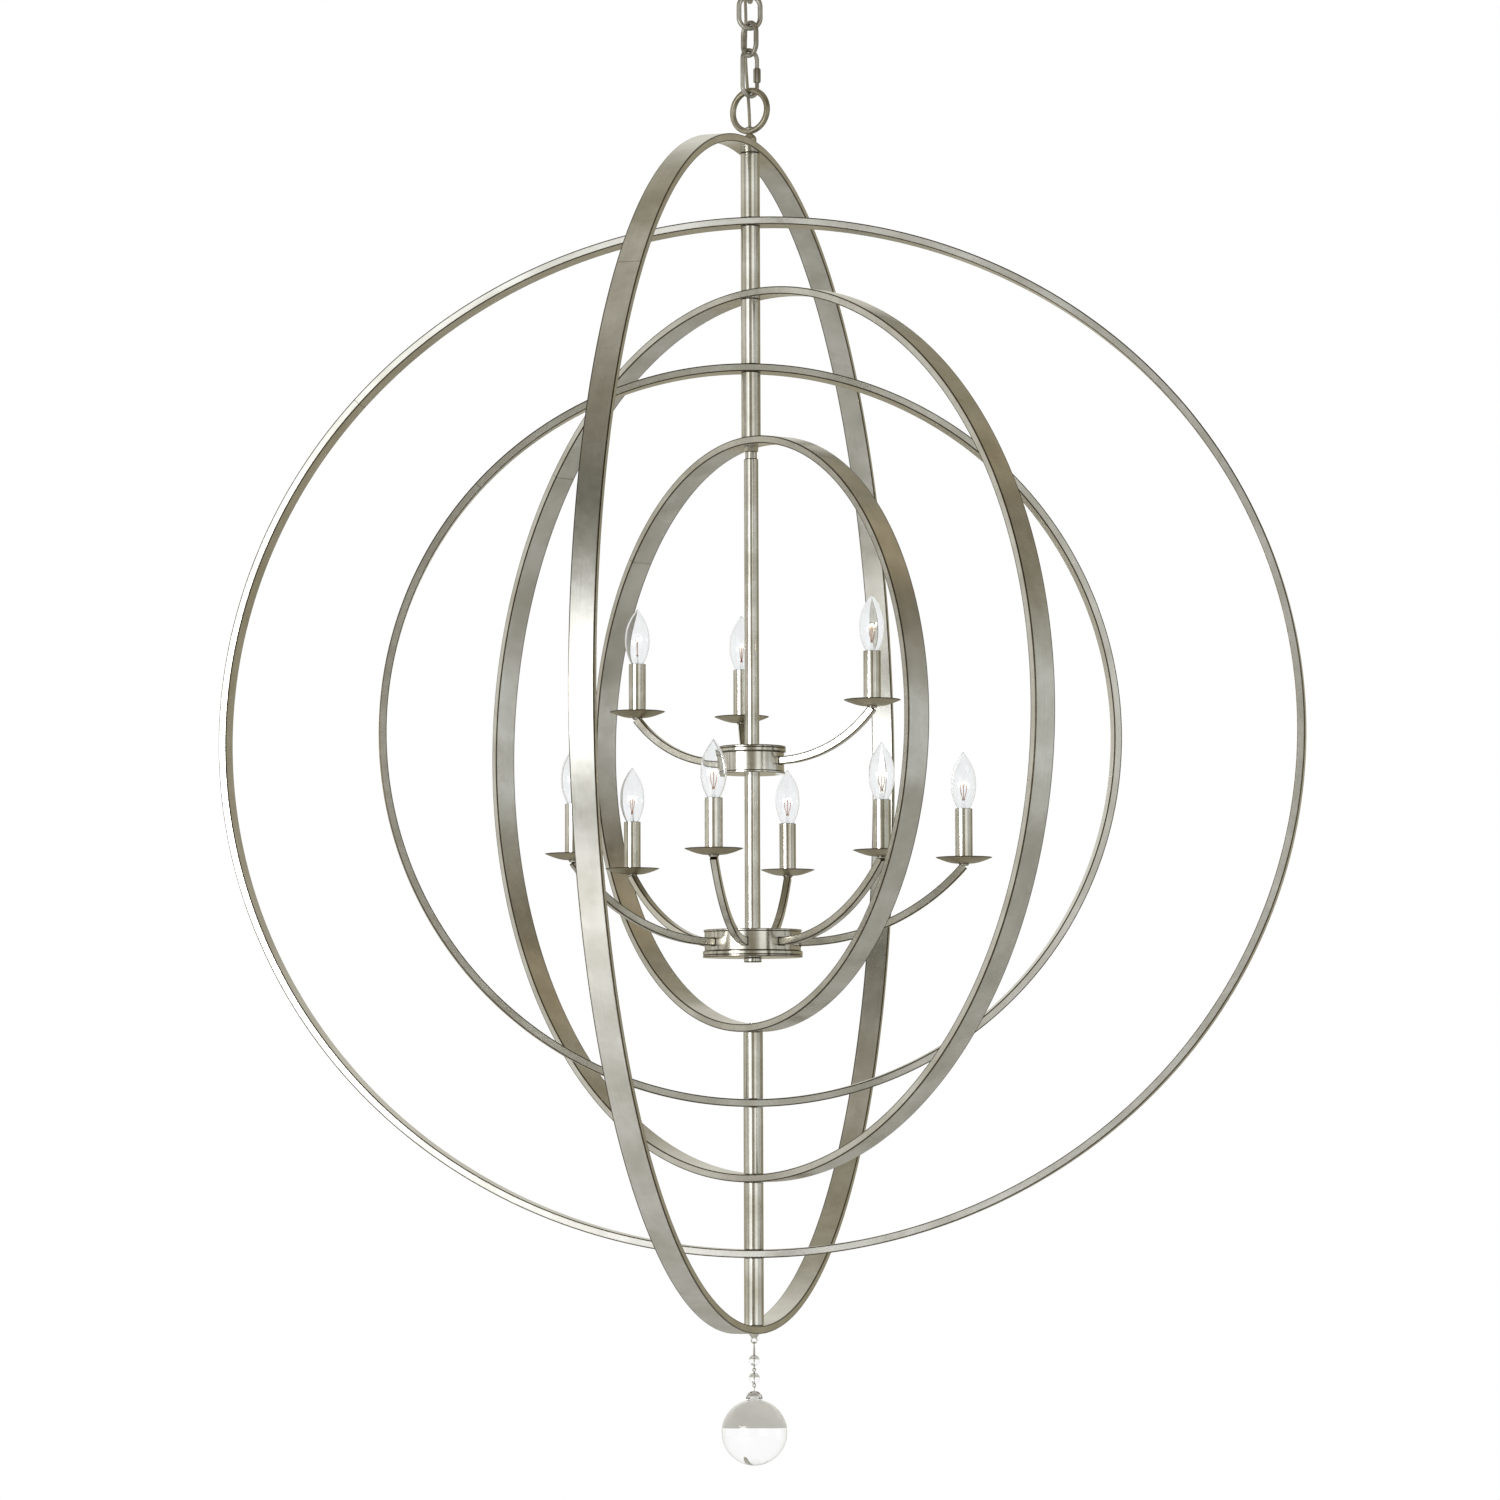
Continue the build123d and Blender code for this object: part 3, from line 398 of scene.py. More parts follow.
def silver_leaf(
    name,
    pale,
    dark,
    edge_shade_and_seam_tone,
    brush=(6, 900),
    rough=(0.16, 0.28),
    seam=False,
    relief_strength=0.04,
):
    """Antique silver leaf: mottled leaf, fine brush lines, and painted shade: dark umber on every
    marked corner.
    """
    material, tree, shader = new_material(name)
    object_space = node(tree, "ShaderNodeTexCoord").outputs["Object"]
    uv = node(tree, "ShaderNodeUVMap", uv_map="along").outputs["UV"]
    mottle = mapped_noise(tree, object_space, 16.0, 5.0)
    cloud = mapped_noise(tree, object_space, 75.0, 6.0, roughness=0.65)
    lines = mapped_noise(tree, uv, 1.0, 3.0, stretch=(brush[0], brush[1], 1))
    colour = ramp(tree, mottle, [(0.34, dark), (0.66, pale)])
    worn = ramp(tree, cloud, [(0.30, (0.80, 0.79, 0.76)), (0.70, (1.0, 1.0, 1.0))])
    colour = mix(tree, 0.55, colour, worn, "MULTIPLY")
    streak = ramp(tree, lines, [(0.32, (0.84, 0.83, 0.81)), (0.68, (1.0, 1.0, 1.0))])
    colour = mix(tree, 0.50, colour, streak, "MULTIPLY")
    # painted shade: the corner mark, frayed by noise, mixes near-black umber into the leaf
    edge = node(tree, "ShaderNodeAttribute", attribute_name="edge").outputs["Fac"]
    ragged = mapped_noise(tree, object_space, 140.0, 3.0)
    edge = maths(tree, "MULTIPLY", edge, maths(tree, "ADD", ragged, 0.75))
    edge = node_clamp(tree, edge)
    colour = mix(tree, edge, colour, edge_shade_and_seam_tone)
    if seam:
        along = node(tree, "ShaderNodeSeparateXYZ")
        tree.links.new(uv, along.inputs[0])
        near = maths(tree, "LESS_THAN", along.outputs[0], 0.0012)
        colour = mix(tree, maths(tree, "MULTIPLY", near, 0.55), colour, edge_shade_and_seam_tone)
    tree.links.new(colour, shader.inputs["Base Color"])
    shader.inputs["Metallic"].default_value = 0.92
    level = maths(tree, "MULTIPLY", cloud, rough[1] - rough[0])
    tree.links.new(maths(tree, "ADD", level, rough[0]), shader.inputs["Roughness"])
    fine, coarse = maths(tree, "MULTIPLY", lines, 0.5), maths(tree, "MULTIPLY", cloud, 0.8)
    relief = maths(tree, "ADD", fine, coarse)
    bump(tree, relief, relief_strength, 0.0004, shader)
    return material


def node_clamp(tree, value):
    made = node(tree, "ShaderNodeClamp")
    tree.links.new(value, made.inputs["Value"])
    return made.outputs[0]


def plated(name, tone, rough, metallic=1.0):
    """Plain plated or bare metal with faint dirt and polish marks."""
    material, tree, shader = new_material(name)
    object_space = node(tree, "ShaderNodeTexCoord").outputs["Object"]
    cloud = mapped_noise(tree, object_space, 220.0, 5.0)
    grime = ramp(tree, cloud, [(0.35, tuple(0.55 * c for c in tone)), (0.62, tone)])
    tree.links.new(mix(tree, 0.25, tone, grime), shader.inputs["Base Color"])
    shader.inputs["Metallic"].default_value = metallic
    level = maths(tree, "MULTIPLY", cloud, 0.18)
    tree.links.new(maths(tree, "ADD", level, rough), shader.inputs["Roughness"])
    bump(tree, cloud, 0.12, 0.0003, shader)
    return material


def clear_glass(name, tint, rough, ior, waves=0.02):
    """Clear glass with faint waviness."""
    material, tree, shader = new_material(name)
    object_space = node(tree, "ShaderNodeTexCoord").outputs["Object"]
    wave = mapped_noise(tree, object_space, 60.0, 2.0)
    film = ramp(tree, wave, [(0.3, tuple(0.985 * c for c in tint)), (0.7, tint)])
    tree.links.new(film, shader.inputs["Base Color"])
    shader.inputs["Roughness"].default_value = rough
    shader.inputs["IOR"].default_value = ior
    shader.inputs["Transmission Weight"].default_value = 1.0
    bump(tree, wave, waves, 0.001, shader)
    return material


def glow(name, tone, strength):
    """Lit filament, its heat varying at random along the coils."""
    material, tree, shader = new_material(name)
    object_space = node(tree, "ShaderNodeTexCoord").outputs["Object"]
    heat = mapped_noise(tree, object_space, 900.0, 2.0)
    colour = ramp(tree, heat, [(0.3, tuple(0.7 * c for c in tone)), (0.7, tone)])
    tree.links.new(colour, shader.inputs["Base Color"])
    tree.links.new(colour, shader.inputs["Emission Color"])
    shader.inputs["Emission Strength"].default_value = strength
    return material


def soft_plastic(name, tone, rough, clear=0.0):
    """Moulded or extruded plastic with faint flow marks."""
    material, tree, shader = new_material(name)
    object_space = node(tree, "ShaderNodeTexCoord").outputs["Object"]
    flow = mapped_noise(tree, object_space, 300.0, 4.0)
    colour = ramp(tree, flow, [(0.3, tuple(0.82 * c for c in tone)), (0.7, tone)])
    tree.links.new(colour, shader.inputs["Base Color"])
    shader.inputs["Roughness"].default_value = rough
    shader.inputs["Coat Weight"].default_value = clear
    bump(tree, flow, 0.1, 0.0003, shader)
    return material


# near-black umber: painted shade on the corners, and the dark weld seam line
EDGE_SHADE_AND_SEAM = (0.07, 0.055, 0.03)
LEAF_BAND = silver_leaf("leaf_band", (0.74, 0.74, 0.72), (0.58, 0.57, 0.53), EDGE_SHADE_AND_SEAM, seam=True)
LEAF_TURNED = silver_leaf(
    "leaf_turned", (0.78, 0.77, 0.74), (0.54, 0.52, 0.45), EDGE_SHADE_AND_SEAM, brush=(500, 4), rough=(0.10, 0.20)
)
LEAF_ARM = silver_leaf("leaf_arm", (0.78, 0.77, 0.73), (0.58, 0.56, 0.49), EDGE_SHADE_AND_SEAM)
LEAF_PAN = silver_leaf(
    "leaf_pan", (0.52, 0.48, 0.37), (0.36, 0.32, 0.22), EDGE_SHADE_AND_SEAM, brush=(500, 4), rough=(0.30, 0.46)
)
LEAF_CHAIN = silver_leaf(
    "leaf_chain", (0.66, 0.65, 0.62), (0.30, 0.28, 0.23), EDGE_SHADE_AND_SEAM, brush=(60, 60), rough=(0.24, 0.40),
    relief_strength=0.15,
)
LEAF_LOOP = silver_leaf(
    "leaf_loop", (0.56, 0.53, 0.44), (0.28, 0.25, 0.17), EDGE_SHADE_AND_SEAM, brush=(60, 60), rough=(0.26, 0.42),
    relief_strength=0.15,
)
PLATED = plated("plated_steel", (0.63, 0.61, 0.57), 0.22)
BRASS = plated("lamp_brass", (0.75, 0.58, 0.30), 0.25)
COPPER = plated("lead_wire", (0.50, 0.22, 0.11), 0.30)
SHADOW = plated("slot_shadow", (0.05, 0.04, 0.025), 0.55, metallic=0.3)
GLASS = clear_glass("bulb_glass_clear", (0.95, 0.96, 0.965), 0.0, 1.45, waves=0.0)
CRYSTAL = clear_glass("crystal_clear", (0.985, 0.99, 0.99), 0.0, 1.52, waves=0.0)
KNOB = clear_glass("knob_smoky", (0.62, 0.61, 0.58), 0.02, 1.52, waves=0.0)
FILAMENT = glow("filament_glow", (1.0, 0.74, 0.46), 30.0)
PHENOLIC = soft_plastic("socket_phenolic", (0.05, 0.05, 0.05), 0.45)
JACKET = soft_plastic("cord_jacket", (0.46, 0.43, 0.34), 0.25, clear=0.6)


# ---- camera ----
CAMERA_DISTANCE, CAMERA_HEIGHT = 5.7457, -0.4598  # metres in front of the axis, above the centre
CAMERA_TILT, CAMERA_ROLL = 0.07623, -0.00342  # radians
CAMERA_SENSOR, CAMERA_LENS = 36.0, 108.09264  # millimetres
CAMERA_SHIFT = -0.0014


def place_camera():
    """Camera in front of the lamp, below its centre and looking slightly up."""
    tilt, roll = CAMERA_TILT, CAMERA_ROLL
    data = bpy.data.cameras.new("camera")
    data.sensor_width = CAMERA_SENSOR
    data.lens = CAMERA_LENS
    data.clip_end = 60.0
    data.shift_x = CAMERA_SHIFT
    camera = bpy.data.objects.new("camera", data)
    bpy.context.scene.collection.objects.link(camera)
    forward = Vector((0, math.cos(tilt), math.sin(tilt)))
    level = Vector((1, 0, 0))
    up = level.cross(forward)
    right = level * math.cos(roll) + up * math.sin(roll)
    over = up * math.cos(roll) - level * math.sin(roll)
    turn = Matrix((right, over, -forward)).transposed().to_4x4()
    spot = (0, -CAMERA_DISTANCE, CENTRE * MM + CAMERA_HEIGHT)
    camera.matrix_world = Matrix.Translation(spot) @ turn
    bpy.context.scene.camera = camera


# ---- supply cord: a smooth line behind the links, cut where each link takes it over ----
QUICK_BOTTOM = height_of("fixture_swing") - QUICK_WIRE / 2
LOOP_CENTRE = QUICK_BOTTOM + QUICK_WIRE + LINK_GAP + LOOP_WIRE / 2 - LOOP_RADIUS
LINK_BOTTOMS = (
    height_of("middle_link_swing") - LINK_WIRE / 2,
    height_of("bottom_link_swing") - LINK_WIRE / 2,
    height_of("quick_link_swing") - LINK_WIRE / 2,
)
COLLAR_LOOP_BOTTOM = height_of("top_link_swing") - COLLAR_LOOP_WIRE / 2
CEILING = -CENTRE
CORD_ROUTE = (
    (0, 0, 750.3),
    (0, 0, LOOP_CENTRE - 13),
    (-3, 15, LOOP_CENTRE + 31),
    (-6, 18, QUICK_BOTTOM + 62),
    (-4.5, 16.5, LINK_BOTTOMS[2] + 52),
    (-6, 17, LINK_BOTTOMS[1] + 50),
    (-5, 14, LINK_BOTTOMS[0] + 43),
    (0, 0, COLLAR_LOOP_BOTTOM + 29),
    (0, 0, CEILING - 1),
)


def cord_line():
    """Points along the NURBS line through the route."""
    curve = bpy.data.curves.new("cord_line", "CURVE")
    curve.dimensions = "3D"
    curve.resolution_u = 24
    spline = curve.splines.new("NURBS")
    spline.points.add(len(CORD_ROUTE) - 1)
    for point, spot in zip(spline.points, CORD_ROUTE):
        point.co = (*spot, 1.0)
    spline.order_u = 3
    spline.use_endpoint_u = True
    holder = bpy.data.objects.new("cord_line", curve)
    bpy.context.scene.collection.objects.link(holder)
    bpy.context.view_layer.update()
    depsgraph = bpy.context.evaluated_depsgraph_get()
    line = bpy.data.meshes.new_from_object(holder.evaluated_get(depsgraph))
    points = [vertex.co.copy() for vertex in line.vertices]
    bpy.data.objects.remove(holder)
    return points


def cord_spots(points):
    """Sweep spots that carry one fixed sideways direction along the line."""
    spots = []
    for k, point in enumerate(points):
        ahead = (points[min(k + 1, len(points) - 1)] - points[max(k - 1, 0)]).normalized()
        side = Vector((1, 0, 0)) - ahead * ahead.x
        side.normalize()
        spots.append((point, side, ahead.cross(side), 1.0))
    return spots


def build_cord():
    """One tube piece for each joint of the chain, between the two bodies the joint joins, and one piece
    at each end.
    """
    bodies = (
        "ceiling_fitting", "top_link", "middle_link", "bottom_link", "quick_link_body", "fixture"
    )
    # every cut lies inside the opening of the link or loop that takes the cord over
    cuts = [
        COLLAR_LOOP_BOTTOM + 24.0,
        LINK_BOTTOMS[0] + 25.0,
        LINK_BOTTOMS[1] + 25.0,
        LINK_BOTTOMS[2] + 25.0,
        QUICK_BOTTOM + 33.0,
        LOOP_CENTRE - 6.0,
    ]
    spots = cord_spots(cord_line())
    section = circle_section(CORD_D, 16)

    def between(low, high):
        inside = [s for s in spots if low < s[0].z < high]
        ends = []
        for level in (low, high):
            after = next((k for k, s in enumerate(spots) if s[0].z >= level), len(spots) - 1)
            first, second = spots[max(after - 1, 0)], spots[after]
            gap = second[0].z - first[0].z
            share = 0.0 if gap < 1e-6 else (level - first[0].z) / gap
            share = min(max(share, 0.0), 1.0)
            ends.append(tuple(a.lerp(b, share) for a, b in zip(first[:3], second[:3])) + (1.0,))
        return [ends[0], *inside, ends[1]]

    def tube_piece(name, low, high):
        piece = Piece()
        piece.sweep(section, between(low, high))
        return piece.finish(name, None, JACKET, None)

    top = tube_piece("supply_cord_top", cuts[0], CORD_ROUTE[-1][2])
    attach(top, "ceiling_fitting")
    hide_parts("supply_cord")
    low_end = tube_piece("supply_cord_entry", CORD_ROUTE[0][2], cuts[-1])
    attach(low_end, "fixture")
    for k in range(len(bodies) - 1):
        stretch = tube_piece(f"supply_cord_{k + 1}", cuts[k + 1], cuts[k])
        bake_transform(stretch)


# ---- hoops and their tubes ----
def build_hoop(name, body, angle, radius, stretch):
    """One flat band bent to a circle or ellipse, its corners rounded and darkened with painted shade.
    """
    piece = Piece()
    half = BAND_WIDTH / 2
    corners = [(-half, 0), (half, 0), (half, BAND_THICKNESS), (-half, BAND_THICKNESS)]
    section = soften(corners, 0.9, 1.9, closed=True)
    steps = 300
    place = turn_about_axis(angle)
    rows = []
    for k in range(steps):
        turn = 2 * math.pi * k / steps + math.radians(SEAM_ANGLE)
        row = []
        for across, depth, edge in section:
            along = (radius * stretch - depth) * math.cos(turn)
            up = (radius - depth) * math.sin(turn)
            row.append(piece.add(place @ Vector((along, across, up)), edge))
        rows.append(row)
    piece.grid(rows, wrap_rows=True, wrap_columns=True)
    piece.finish(f"{name}_band", body, LEAF_BAND, "silver_leaf", [name])


def turned_tube(name, body, node_name, outer, inner, bevel=0.5):
    """Lathe-turned tube that stands for a CAD node, between the node's own heights."""
    low, high = span(node_name)
    piece = Piece()
    outline = [(inner, low), (outer, low), (outer, high), (inner, high)]
    piece.lathe(close_outline(soften(outline, bevel, 1.6, closed=True)), 64)
    piece.finish(name, body, LEAF_TURNED, "silver_leaf", [node_name])


def close_outline(outline):
    """Repeats the first point so that the lathe closes."""
    return [*outline, outline[0]]


def build_tubes():
    """Spacer tubes, neck and stem."""
    for k in range(1, 5):
        turned_tube(f"upper_tube_{k}", "fixture", f"upper_spacer_{k}", *SPACER_RADII)
        turned_tube(f"lower_tube_{k}", "outer_hoop", f"lower_spacer_{k}", *SPACER_RADII)
    turned_tube("neck_coupling", "fixture", "neck", *NECK_RADII)
    turned_tube("stem_upper", "fixture", "upper_stem", *UPPER_STEM_RADII)
    turned_tube("stem_lower", "fixture", "lower_stem", *LOWER_STEM_RADII)
    turned_tube("stem_end_cap", "fixture", "end_cap", *END_CAP_RADII, bevel=0.9)


# ---- hubs and arms ----
def hub_outline(radius, cover):
    """Half section of one hub drawn with its cover above height 0."""
    depth = HUB_HEIGHT - HUB_COVER
    inside = radius - HUB_WALL
    if cover:
        edge = radius + 2.2
        outline = [(9.0, -2.0), (inside, -2.0), (inside, 0.0), (edge - 0.5, 0.0)]
        outline += [(edge, 0.8), (edge, 4.6), (edge - 0.8, 4.9), (edge - 0.8, 5.5), (edge, 5.8)]
        outline += [(edge, HUB_COVER - 0.8), (edge - 0.8, HUB_COVER), (9.0, HUB_COVER)]
        return outline
    rim = radius + 1.2
    outline = [(inside, -0.1), (radius, -0.1), (radius, -depth + 3.0), (rim, -depth + 2.6)]
    outline += [(rim, -depth + 0.5), (rim - 0.5, -depth), (9.5, -depth)]
    outline += [(9.5, -depth + HUB_WALL), (inside, -depth + HUB_WALL)]
    return outline


def build_hub(name, radius, place):
    """Hub shell and cover, turned from the same section."""
    for part, cover in (("shell", False), ("cover", True)):
        piece = Piece()
        outline = soften(hub_outline(radius, cover), 0.35, 1.3, closed=True)
        piece.lathe(close_outline(outline), 96, place)
        piece.finish(
            f"{name}_{part}_turned", "fixture", LEAF_TURNED, "silver_leaf", [f"{name}_{part}"]
        )


def arm_spots(level, hub_radius, tip_radius, rim, angle):
    """Sweep spots along one arm, from inside its hub to under its cup."""
    tip = rim - PAN_DEPTH - CUP_HEIGHT
    reach, rise = tip_radius - hub_radius, tip - level
    sweep = 2 * math.atan(rise / reach)
    radius = reach / math.sin(sweep)
    turn = turn_about_axis(angle).to_3x3()
    side = turn @ Vector((0, 1, 0))
    spots = [(turn @ Vector((hub_radius - 8.0, 0, level)), turn @ Vector((0, 0, 1)), side, 1.0)]
    steps = 40
    for k in range(steps + 1):
        bend = sweep * k / steps
        spot = Vector(
            (hub_radius + radius * math.sin(bend), 0, level + radius * (1 - math.cos(bend)))
        )
        normal = Vector((-math.sin(bend), 0, math.cos(bend)))
        spots.append((turn @ spot, turn @ normal, side, 1.0))
    return spots


def build_arm(number, tier, level, hub_radius, tip_radius, rim, angle):
    """Square bar bent in one arc."""
    piece = Piece()
    spots = arm_spots(level, hub_radius, tip_radius, rim, angle)
    piece.sweep(box_section(ARM_HEIGHT, ARM_WIDTH, 0.8, 1.9), spots)
    piece.finish(
        f"{tier}_arm_bar_{number}", "fixture", LEAF_ARM, "silver_leaf", [f"{tier}_arm_{number}"]
    )


def build_slots(slots):
    """Dark hairline round every arm where it passes into a hub; slots are (level, radius, angle)."""
    piece = Piece()
    half_h, half_w = ARM_HEIGHT / 2 + SLOT_GAP, ARM_WIDTH / 2 + SLOT_GAP
    for level, hub_radius, angle in slots:
        turn = turn_about_axis(angle).to_3x3()
        path = []
        for k in range(24):
            t = 2 * math.pi * (k + 0.5) / 24
            y = math.copysign(min(abs(SLOT_CORNER * half_w * math.cos(t)), half_w), math.cos(t))
            z = math.copysign(min(abs(SLOT_CORNER * half_h * math.sin(t)), half_h), math.sin(t))
            depth = math.sqrt(hub_radius**2 - y**2) + 0.15
            outward = Vector((0, math.cos(t), math.sin(t)))
            spot = Vector((depth, y, level + z))
            path.append((turn @ spot, turn @ outward, turn @ Vector((1, 0, 0)), 1.0))
        piece.sweep([(0.5, 0.3, 0), (-0.5, 0.3, 0), (-0.5, -1.0, 0), (0.5, -1.0, 0)], path, True)
    piece.finish("arm_slots", "fixture", SHADOW, "silver_leaf")


def build_arms():
    """Both tiers of arms, and the slots that they pass through."""
    upper_level = UPPER_HUB_TOP - HUB_HEIGHT / 2 - 1.5
    lower_level = LOWER_HUB_BOTTOM + HUB_HEIGHT / 2 + 1.5
    tiers = (
        ("upper", upper_level, UPPER_HUB_RADIUS, UPPER_TIP_RADIUS, UPPER_RIM, UPPER_ARM_ANGLES),
        ("lower", lower_level, LOWER_HUB_RADIUS, LOWER_TIP_RADIUS, LOWER_RIM, LOWER_ARM_ANGLES),
    )
    slots = []
    for tier, level, hub_radius, tip_radius, rim, angles in tiers:
        for k, angle in enumerate(angles, 1):
            build_arm(k, tier, level, hub_radius, tip_radius, rim, angle)
            slots.append((level, hub_radius, angle))
    build_slots(slots)


# ---- candle lights, drawn with the drip pan's rim at height 0 ----
def light_places():
    """Where the nine lights stand."""
    tips = [(UPPER_TIP_RADIUS, UPPER_RIM, a) for a in UPPER_ARM_ANGLES]
    tips += [(LOWER_TIP_RADIUS, LOWER_RIM, a) for a in LOWER_ARM_ANGLES]
    return [turn_about_axis(a) @ Matrix.Translation((r, 0, z)) for r, z, a in tips]


def repeated(name, outline, material, slot, stands_for=(), segments=48, closed=True):
    """One piece made of the same turned form at every light."""
    piece = Piece()
    for place in light_places():
        piece.lathe(close_outline(outline) if closed else outline, segments, place)
    piece.finish(name, "fixture", material, slot, stands_for)


def pan_outline():
    """Dish with a flat floor, a curved belly and a rolled lip."""
    outline = [(0.0, -PAN_DEPTH), (PAN_FLOOR, -PAN_DEPTH)]
    for k in range(1, 13):
        t = k / 12
        outline.append((PAN_FLOOR + 23.6 * t, -PAN_DEPTH + 7.3 * t ** 1.45))
    outline += [(36.0, 0.15), (35.6, 0.4), (34.9, 0.35)]
    for k in range(11, 0, -1):
        t = k / 12
        outline.append((PAN_FLOOR + 23.0 * t, -PAN_DEPTH + PAN_WALL + 6.6 * t ** 1.45))
    outline += [(PAN_FLOOR, -PAN_DEPTH + PAN_WALL), (0.0, -PAN_DEPTH + PAN_WALL)]
    # the rolled lip is marked for the painted edge shade
    return [(r, z, 1.0 if r > 35.0 else 0.0) for r, z in outline]


def glass_radius(height):
    """Radius of the bulb's glass at a height above the sleeve."""
    widest = 0.40 * BULB_HEIGHT
    if height < widest:
        swell = math.sin(math.pi / 2 * max(height / widest, 0.0)) ** 0.85
        return BULB_NECK_RADIUS + (BULB_RADIUS - BULB_NECK_RADIUS) * swell
    share = (height - widest) / (BULB_HEIGHT - widest)
    return BULB_RADIUS * max(math.cos(math.pi / 2 * share ** 1.28), 0.0) ** 0.92


def glass_outline(inset):
    """Half outline of the envelope from neck to tip."""
    outline = [(6.0 - inset, SLEEVE_TOP - 7.0, 0.0), (6.4 - inset, SLEEVE_TOP - 4.0, 0.0)]
    steps = 36
    top = BULB_HEIGHT - inset
    for k in range(steps + 1):
        height = top * (k / steps) ** 0.9
        radius = glass_radius(height * BULB_HEIGHT / top)
        outline.append((max(radius - inset, 0.0) if k < steps else 0.0, SLEEVE_TOP + height, 0.0))
    return outline


def build_glass():
    """Thin clear envelopes, open at the neck inside the base."""
    outline = glass_outline(0.0) + list(reversed(glass_outline(GLASS_WALL)))
    repeated("bulb_envelopes", outline, GLASS, "clear_glass", ["bulb_glass"])


def build_bulb_insides():
    """Glass mount, lead wires and lit filament of every bulb."""
    mount = [(0.0, SLEEVE_TOP - 8), (3.8, SLEEVE_TOP - 8), (2.6, SLEEVE_TOP + 2)]
    mount += [(1.6, SLEEVE_TOP + 9), (1.9, SLEEVE_TOP + 12), (0.0, SLEEVE_TOP + 13.5)]
    repeated("bulb_mounts", [(r, z, 0.0) for r, z in mount], GLASS, "clear_glass", (), 16, False)
    wires, glows = Piece(), Piece()
    rng = random.Random(7)
    thin, fine = circle_section(0.9, 6), circle_section(1.5, 6)
    for place in light_places():
        spin = turn_about_axis(rng.uniform(0, 180)).to_3x3()
        turn = place.to_3x3() @ spin
        origin = place.translation

        def spot(x, z):
            return origin + turn @ Vector((x, 0, z))

        side, front = turn @ Vector((1, 0, 0)), turn @ Vector((0, 1, 0))
        up = Vector((0, 0, 1))
        for hand in (-1, 1):
            path = [(1.0, 10.0), (1.6, 15.0), (3.4, 21.0), (4.2, 27.0), (3.9, 30.5)]
            lead = [(spot(hand * x, SLEEVE_TOP + z), side, front, 1.0) for x, z in path]
            wires.sweep(thin, lead)
        post = [(spot(0, SLEEVE_TOP + z), side, front, 1.0) for z in (11.0, 20.0, 33.0)]
        wires.sweep(thin, post)
        coil = []
        for k in range(25):
            t = k / 24
            sag = 3.4 * math.sin(math.pi * t)
            coil.append((spot(-3.9 + 7.8 * t, SLEEVE_TOP + 30.5 + sag), up, front, 1.0))
        glows.sweep(fine, coil)
    wires.finish("lead_wires", "fixture", COPPER, "lamp_brass")
    glows.finish("filaments", "fixture", FILAMENT, "lamp_brass")


def build_lights():
    """Cups, drip pans, candle sleeves and bulbs."""
    low, foot = -PAN_DEPTH + PAN_WALL, -PAN_DEPTH - CUP_HEIGHT
    cup = [(0.0, foot), (5.4, foot), (6.5, -PAN_DEPTH - 1.0), (6.5, -PAN_DEPTH), (0.0, -PAN_DEPTH)]
    cup = soften(cup, 0.3, 0.9)
    repeated("arm_seats", cup, LEAF_TURNED, "silver_leaf", ["arm_cups"], 32, False)
    repeated("bobeches", pan_outline(), LEAF_PAN, "silver_leaf", ["drip_pans"], 72, False)
    inner, outer = SLEEVE_RADII
    sleeve = [(inner, low), (outer, low), (outer, SLEEVE_TOP), (inner, SLEEVE_TOP)]
    sleeve = soften(sleeve, 0.4, 1.6, closed=True)
    repeated("sleeves", sleeve, LEAF_TURNED, "silver_leaf", ["candle_sleeves"])
    build_glass()
    build_bulb_insides()


# ---- suspension ----
def build_links():
    """Three welded oval links."""
    bodies = ("top_link", "middle_link", "bottom_link")
    for k, (angle, bottom, body) in enumerate(zip(LINK_ANGLES, LINK_BOTTOMS, bodies), 1):
        piece = Piece()
        path = oval_path(LINK_LENGTH, LINK_WIDTH, LINK_WIRE)
        spots = upright_spots(path, bottom + LINK_LENGTH / 2, angle)
        piece.sweep(circle_section(LINK_WIRE, 24), spots, closed=True)
        piece.finish(f"oval_link_{k}", body, LEAF_CHAIN, "silver_leaf", [f"chain_link_{k}"])


def build_quick_link():
    """Long link whose gated leg shows its threads above and below the sleeve nut."""
    leg = (QUICK_WIDTH - QUICK_WIRE) / 2
    straight = (QUICK_LENGTH - QUICK_WIDTH) / 2
    middle = QUICK_LENGTH / 2
    gap_low = 0.48 * QUICK_LENGTH - 8.5 - middle
    gap_high = gap_low + 7.0
    thread = 9.0

    def leg_points(low, high):
        count = int((high - low) / 0.25)
        return [((leg, low + (high - low) * k / count), 0.0) for k in range(count + 1)]

    def size_at(z):
        near = min(abs(z - gap_low), abs(z - gap_high))
        if near > thread:
            return 1.0
        return 0.94 + 0.05 * math.sin(2 * math.pi * z / 0.9)

    def off_leg(point):
        return point[0] < leg - 1e-6 or abs(point[1]) >= straight

    oval = oval_path(QUICK_LENGTH, QUICK_WIDTH, QUICK_WIRE)
    round_part = [p for p in oval if off_leg(p[0])]
    path = leg_points(gap_high, straight) + round_part[1:-1] + leg_points(-straight, gap_low)
    spots = []
    for (point, turn), spot in zip(path, upright_spots(path, QUICK_BOTTOM + middle, QUICK_ANGLE)):
        on_leg = abs(point[0] - leg) < 1e-6
        spots.append((*spot[:3], size_at(point[1]) if on_leg else 1.0))
    piece = Piece()
    piece.sweep(circle_section(QUICK_WIRE, 24), spots)
    piece.finish("quick_link_wire", "quick_link_body", LEAF_CHAIN, "silver_leaf", ["quick_link"])
    build_gate_nut(leg)


